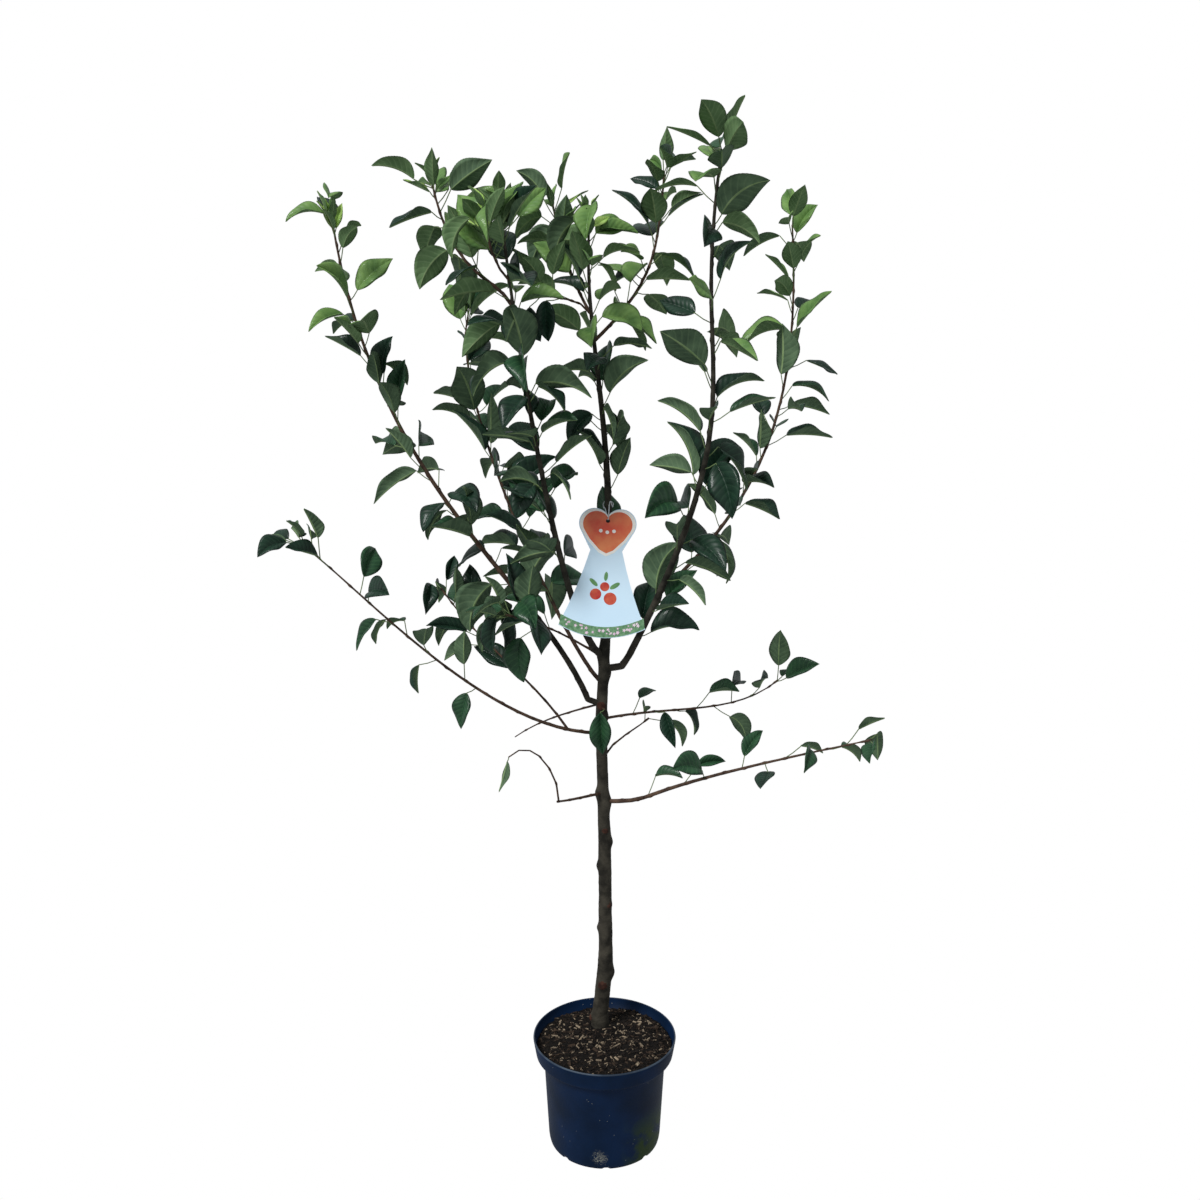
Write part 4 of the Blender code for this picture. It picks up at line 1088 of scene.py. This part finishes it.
def printed(outline, low, high, mat, holes=()):
    """A plate on the card's face, between two heights in layers of print."""
    return plate(outline, CARD_FRONT + low * LAYER, CARD_FRONT + high * LAYER, mat, holes)


def lobe(turns):
    """The arc of the right lobe, at heights from its own centre."""
    turns = [radians(degrees) for degrees in turns]
    return [(LOBE_OFFSET + LOBE_RADIUS * cos(turn), LOBE_RADIUS * sin(turn)) for turn in turns]


def heart(scale):
    """Two lobes and a point, scaled about the heart's middle."""
    ring = lobe(HEART_TURNS) + HEART_POINT
    ring += [(-x, y) for x, y in reversed(ring[:-1])] + [(0, LOBE_RADIUS * NOTCH_SHARE)]
    return [(x * scale, lobe_height + (y + HEART_MIDDLE) * scale - HEART_MIDDLE) for x, y in ring]


def card():
    """The card's right half from the notch down to the hem, then its mirror image."""
    half = [(x, lobe_height + y) for x, y in lobe(CARD_TURNS)] + [(WAIST_HALF, WAIST_HEIGHT)]
    for share in (0.25, 0.5, 0.75):
        x = WAIST_HALF + (HEM_HALF - WAIST_HALF) * share - SKIRT_HOLLOW * sin(pi * share)
        half.append((x, WAIST_HEIGHT + (HEM_RISE - WAIST_HEIGHT) * share))
    half += [(HEM_HALF * s, HEM_RISE * s * s) for s in (1.0, 0.85, 0.7, 0.55, 0.4, 0.25, 0.1)]
    half_back = [(-x, y) for x, y in reversed(half)]
    return half + [(0, 0)] + half_back + [(0, lobe_height + LOBE_RADIUS * NOTCH_SHARE)]


def hem_line(share, rise, ends):
    """A line along the hem at a share of its width and a rise above it."""
    return [(HEM_HALF * s * share, HEM_RISE * s * s + rise) for s in np.linspace(*ends, HEM_STEPS)]


def flower(x, y, size):
    """A round flower with lobed petals."""
    ring = []
    for a in np.linspace(0, 2 * pi, 25)[:-1]:
        reach = size * (1 - PETAL_DEPTH + PETAL_DEPTH * cos(PETALS * a))
        ring.append((x + reach * cos(a), y + reach * sin(a)))
    return ring


def small_leaf(x, y, turn, size):
    """A narrow oval, turned."""
    c, s = size * cos(turn), size * sin(turn)
    oval = [(SPRIG_SHAPE[0] * along, SPRIG_SHAPE[1] * aside) for along, aside in circle(0, 0, 1, 20)]
    return [(x + along * c - aside * s, y + along * s + aside * c) for along, aside in oval]


CARD = surface("tag_gloss_plastic", "#c2e0f6", "#d6ecfa", 0.22, 5, coat=0.5)
BORDER = surface("tag_border_gloss_plastic", "#f0efe8", "#fbfaf6", 0.22, 8, coat=0.5)
HEART = surface("tag_heart_gloss_plastic", "#d9533c", "#e8955f", 0.22, 24, coat=0.5)
HEM = surface("tag_hem_gloss_plastic", "#4f7a55", "#7ba37c", 0.25, 260, coat=0.4)
PETAL = surface("tag_petal_gloss_plastic", "#d9b6cf", "#eddfe8", 0.25, 160, coat=0.4)
FRUIT = surface("tag_fruit_gloss_plastic", "#b3302c", "#d4694a", 0.22, 60, coat=0.5)
SPRIG = surface("tag_sprig_gloss_plastic", "#4f8052", "#6f9d62", 0.25, 90, coat=0.4)
HEM_STEPS = 25
FLOWERS = 34
FLOWER_SPAN = 0.9
FLOWER_INSET = 0.96
FLOWER_RISE = (0.004, 0.0135)
FLOWER_SIZE = (0.0014, 0.0030)
PETALS = 5
PETAL_DEPTH = 0.3
SPRIG_SHAPE = (0.5, 0.2)
# Prints that overlap differ a little in height, by their number or their size, so that none flickers
FLOWER_STEP = 0.1
FRUIT_STEP = 50
SPRIG_BASE = 1.7
SPRIG_STEP = 30
FRUITS = ((-0.012, 0.066, 0.0085), (0.010, 0.060, 0.0095), (0.001, 0.078, 0.0070))
SPRIG_LEAVES = ((-0.016, 0.084, 2.4, 0.016), (0.016, 0.080, 0.6, 0.017), (0.002, 0.094, 1.5, 0.014))
DOTS = ((-0.010, -0.012), (0.0, -0.014), (0.010, -0.012))
DOT_RADIUS = 0.0028
hole = circle(0, hole_height, HOLE_RADIUS, 16)
layers = [plate(card(), -CARD_FRONT, CARD_FRONT, CARD, [hole]),
          printed(heart(scale=0.97), 0, 1, BORDER, [hole]), printed(heart(scale=0.86), 1, 2, HEART, [hole])]
band = hem_line(share=0.985, rise=0.0006, ends=(1, -1)) + hem_line(share=0.955, rise=0.0165, ends=(-1, 1))
layers.append(printed(band, 0, 1, HEM))
flowers = random.Random(3)
for k in range(FLOWERS):
    share = flowers.uniform(-FLOWER_SPAN, FLOWER_SPAN)
    height = HEM_RISE * share ** 2 + flowers.uniform(*FLOWER_RISE)
    ring = flower(HEM_HALF * share * FLOWER_INSET, height, flowers.uniform(*FLOWER_SIZE))
    layers.append(printed(ring, 1, 2 + FLOWER_STEP * k, PETAL))
for x, y, size in FRUITS:
    layers.append(printed(circle(x, y, size, 28), 0, 1 + FRUIT_STEP * size, FRUIT))
for x, y, turn, size in SPRIG_LEAVES:
    layers.append(printed(small_leaf(x, y, turn, size), 0, SPRIG_BASE + SPRIG_STEP * size, SPRIG))
for x, y in DOTS:
    layers.append(printed(circle(x, lobe_height + y, DOT_RADIUS, 16), 2, 3, BORDER))
for layer in layers:
    layer.select_set(True)
bpy.context.view_layer.objects.active = layers[0]
bpy.ops.object.join()
tag = bpy.context.view_layer.objects.active
tag.name = "hang_tag"
bpy.ops.object.select_all(action="DESELECT")
finish(tag, "tag_card", "tag")

# Tag loop
# Thin pale cord through the hole and round the leader; the frame's own solid with a finish
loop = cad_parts["tag_loop"].data
loop.materials.clear()
loop.materials.append(surface("loop_matte_plastic", "#b9bec2", "#d3d7da", 0.5, 200))
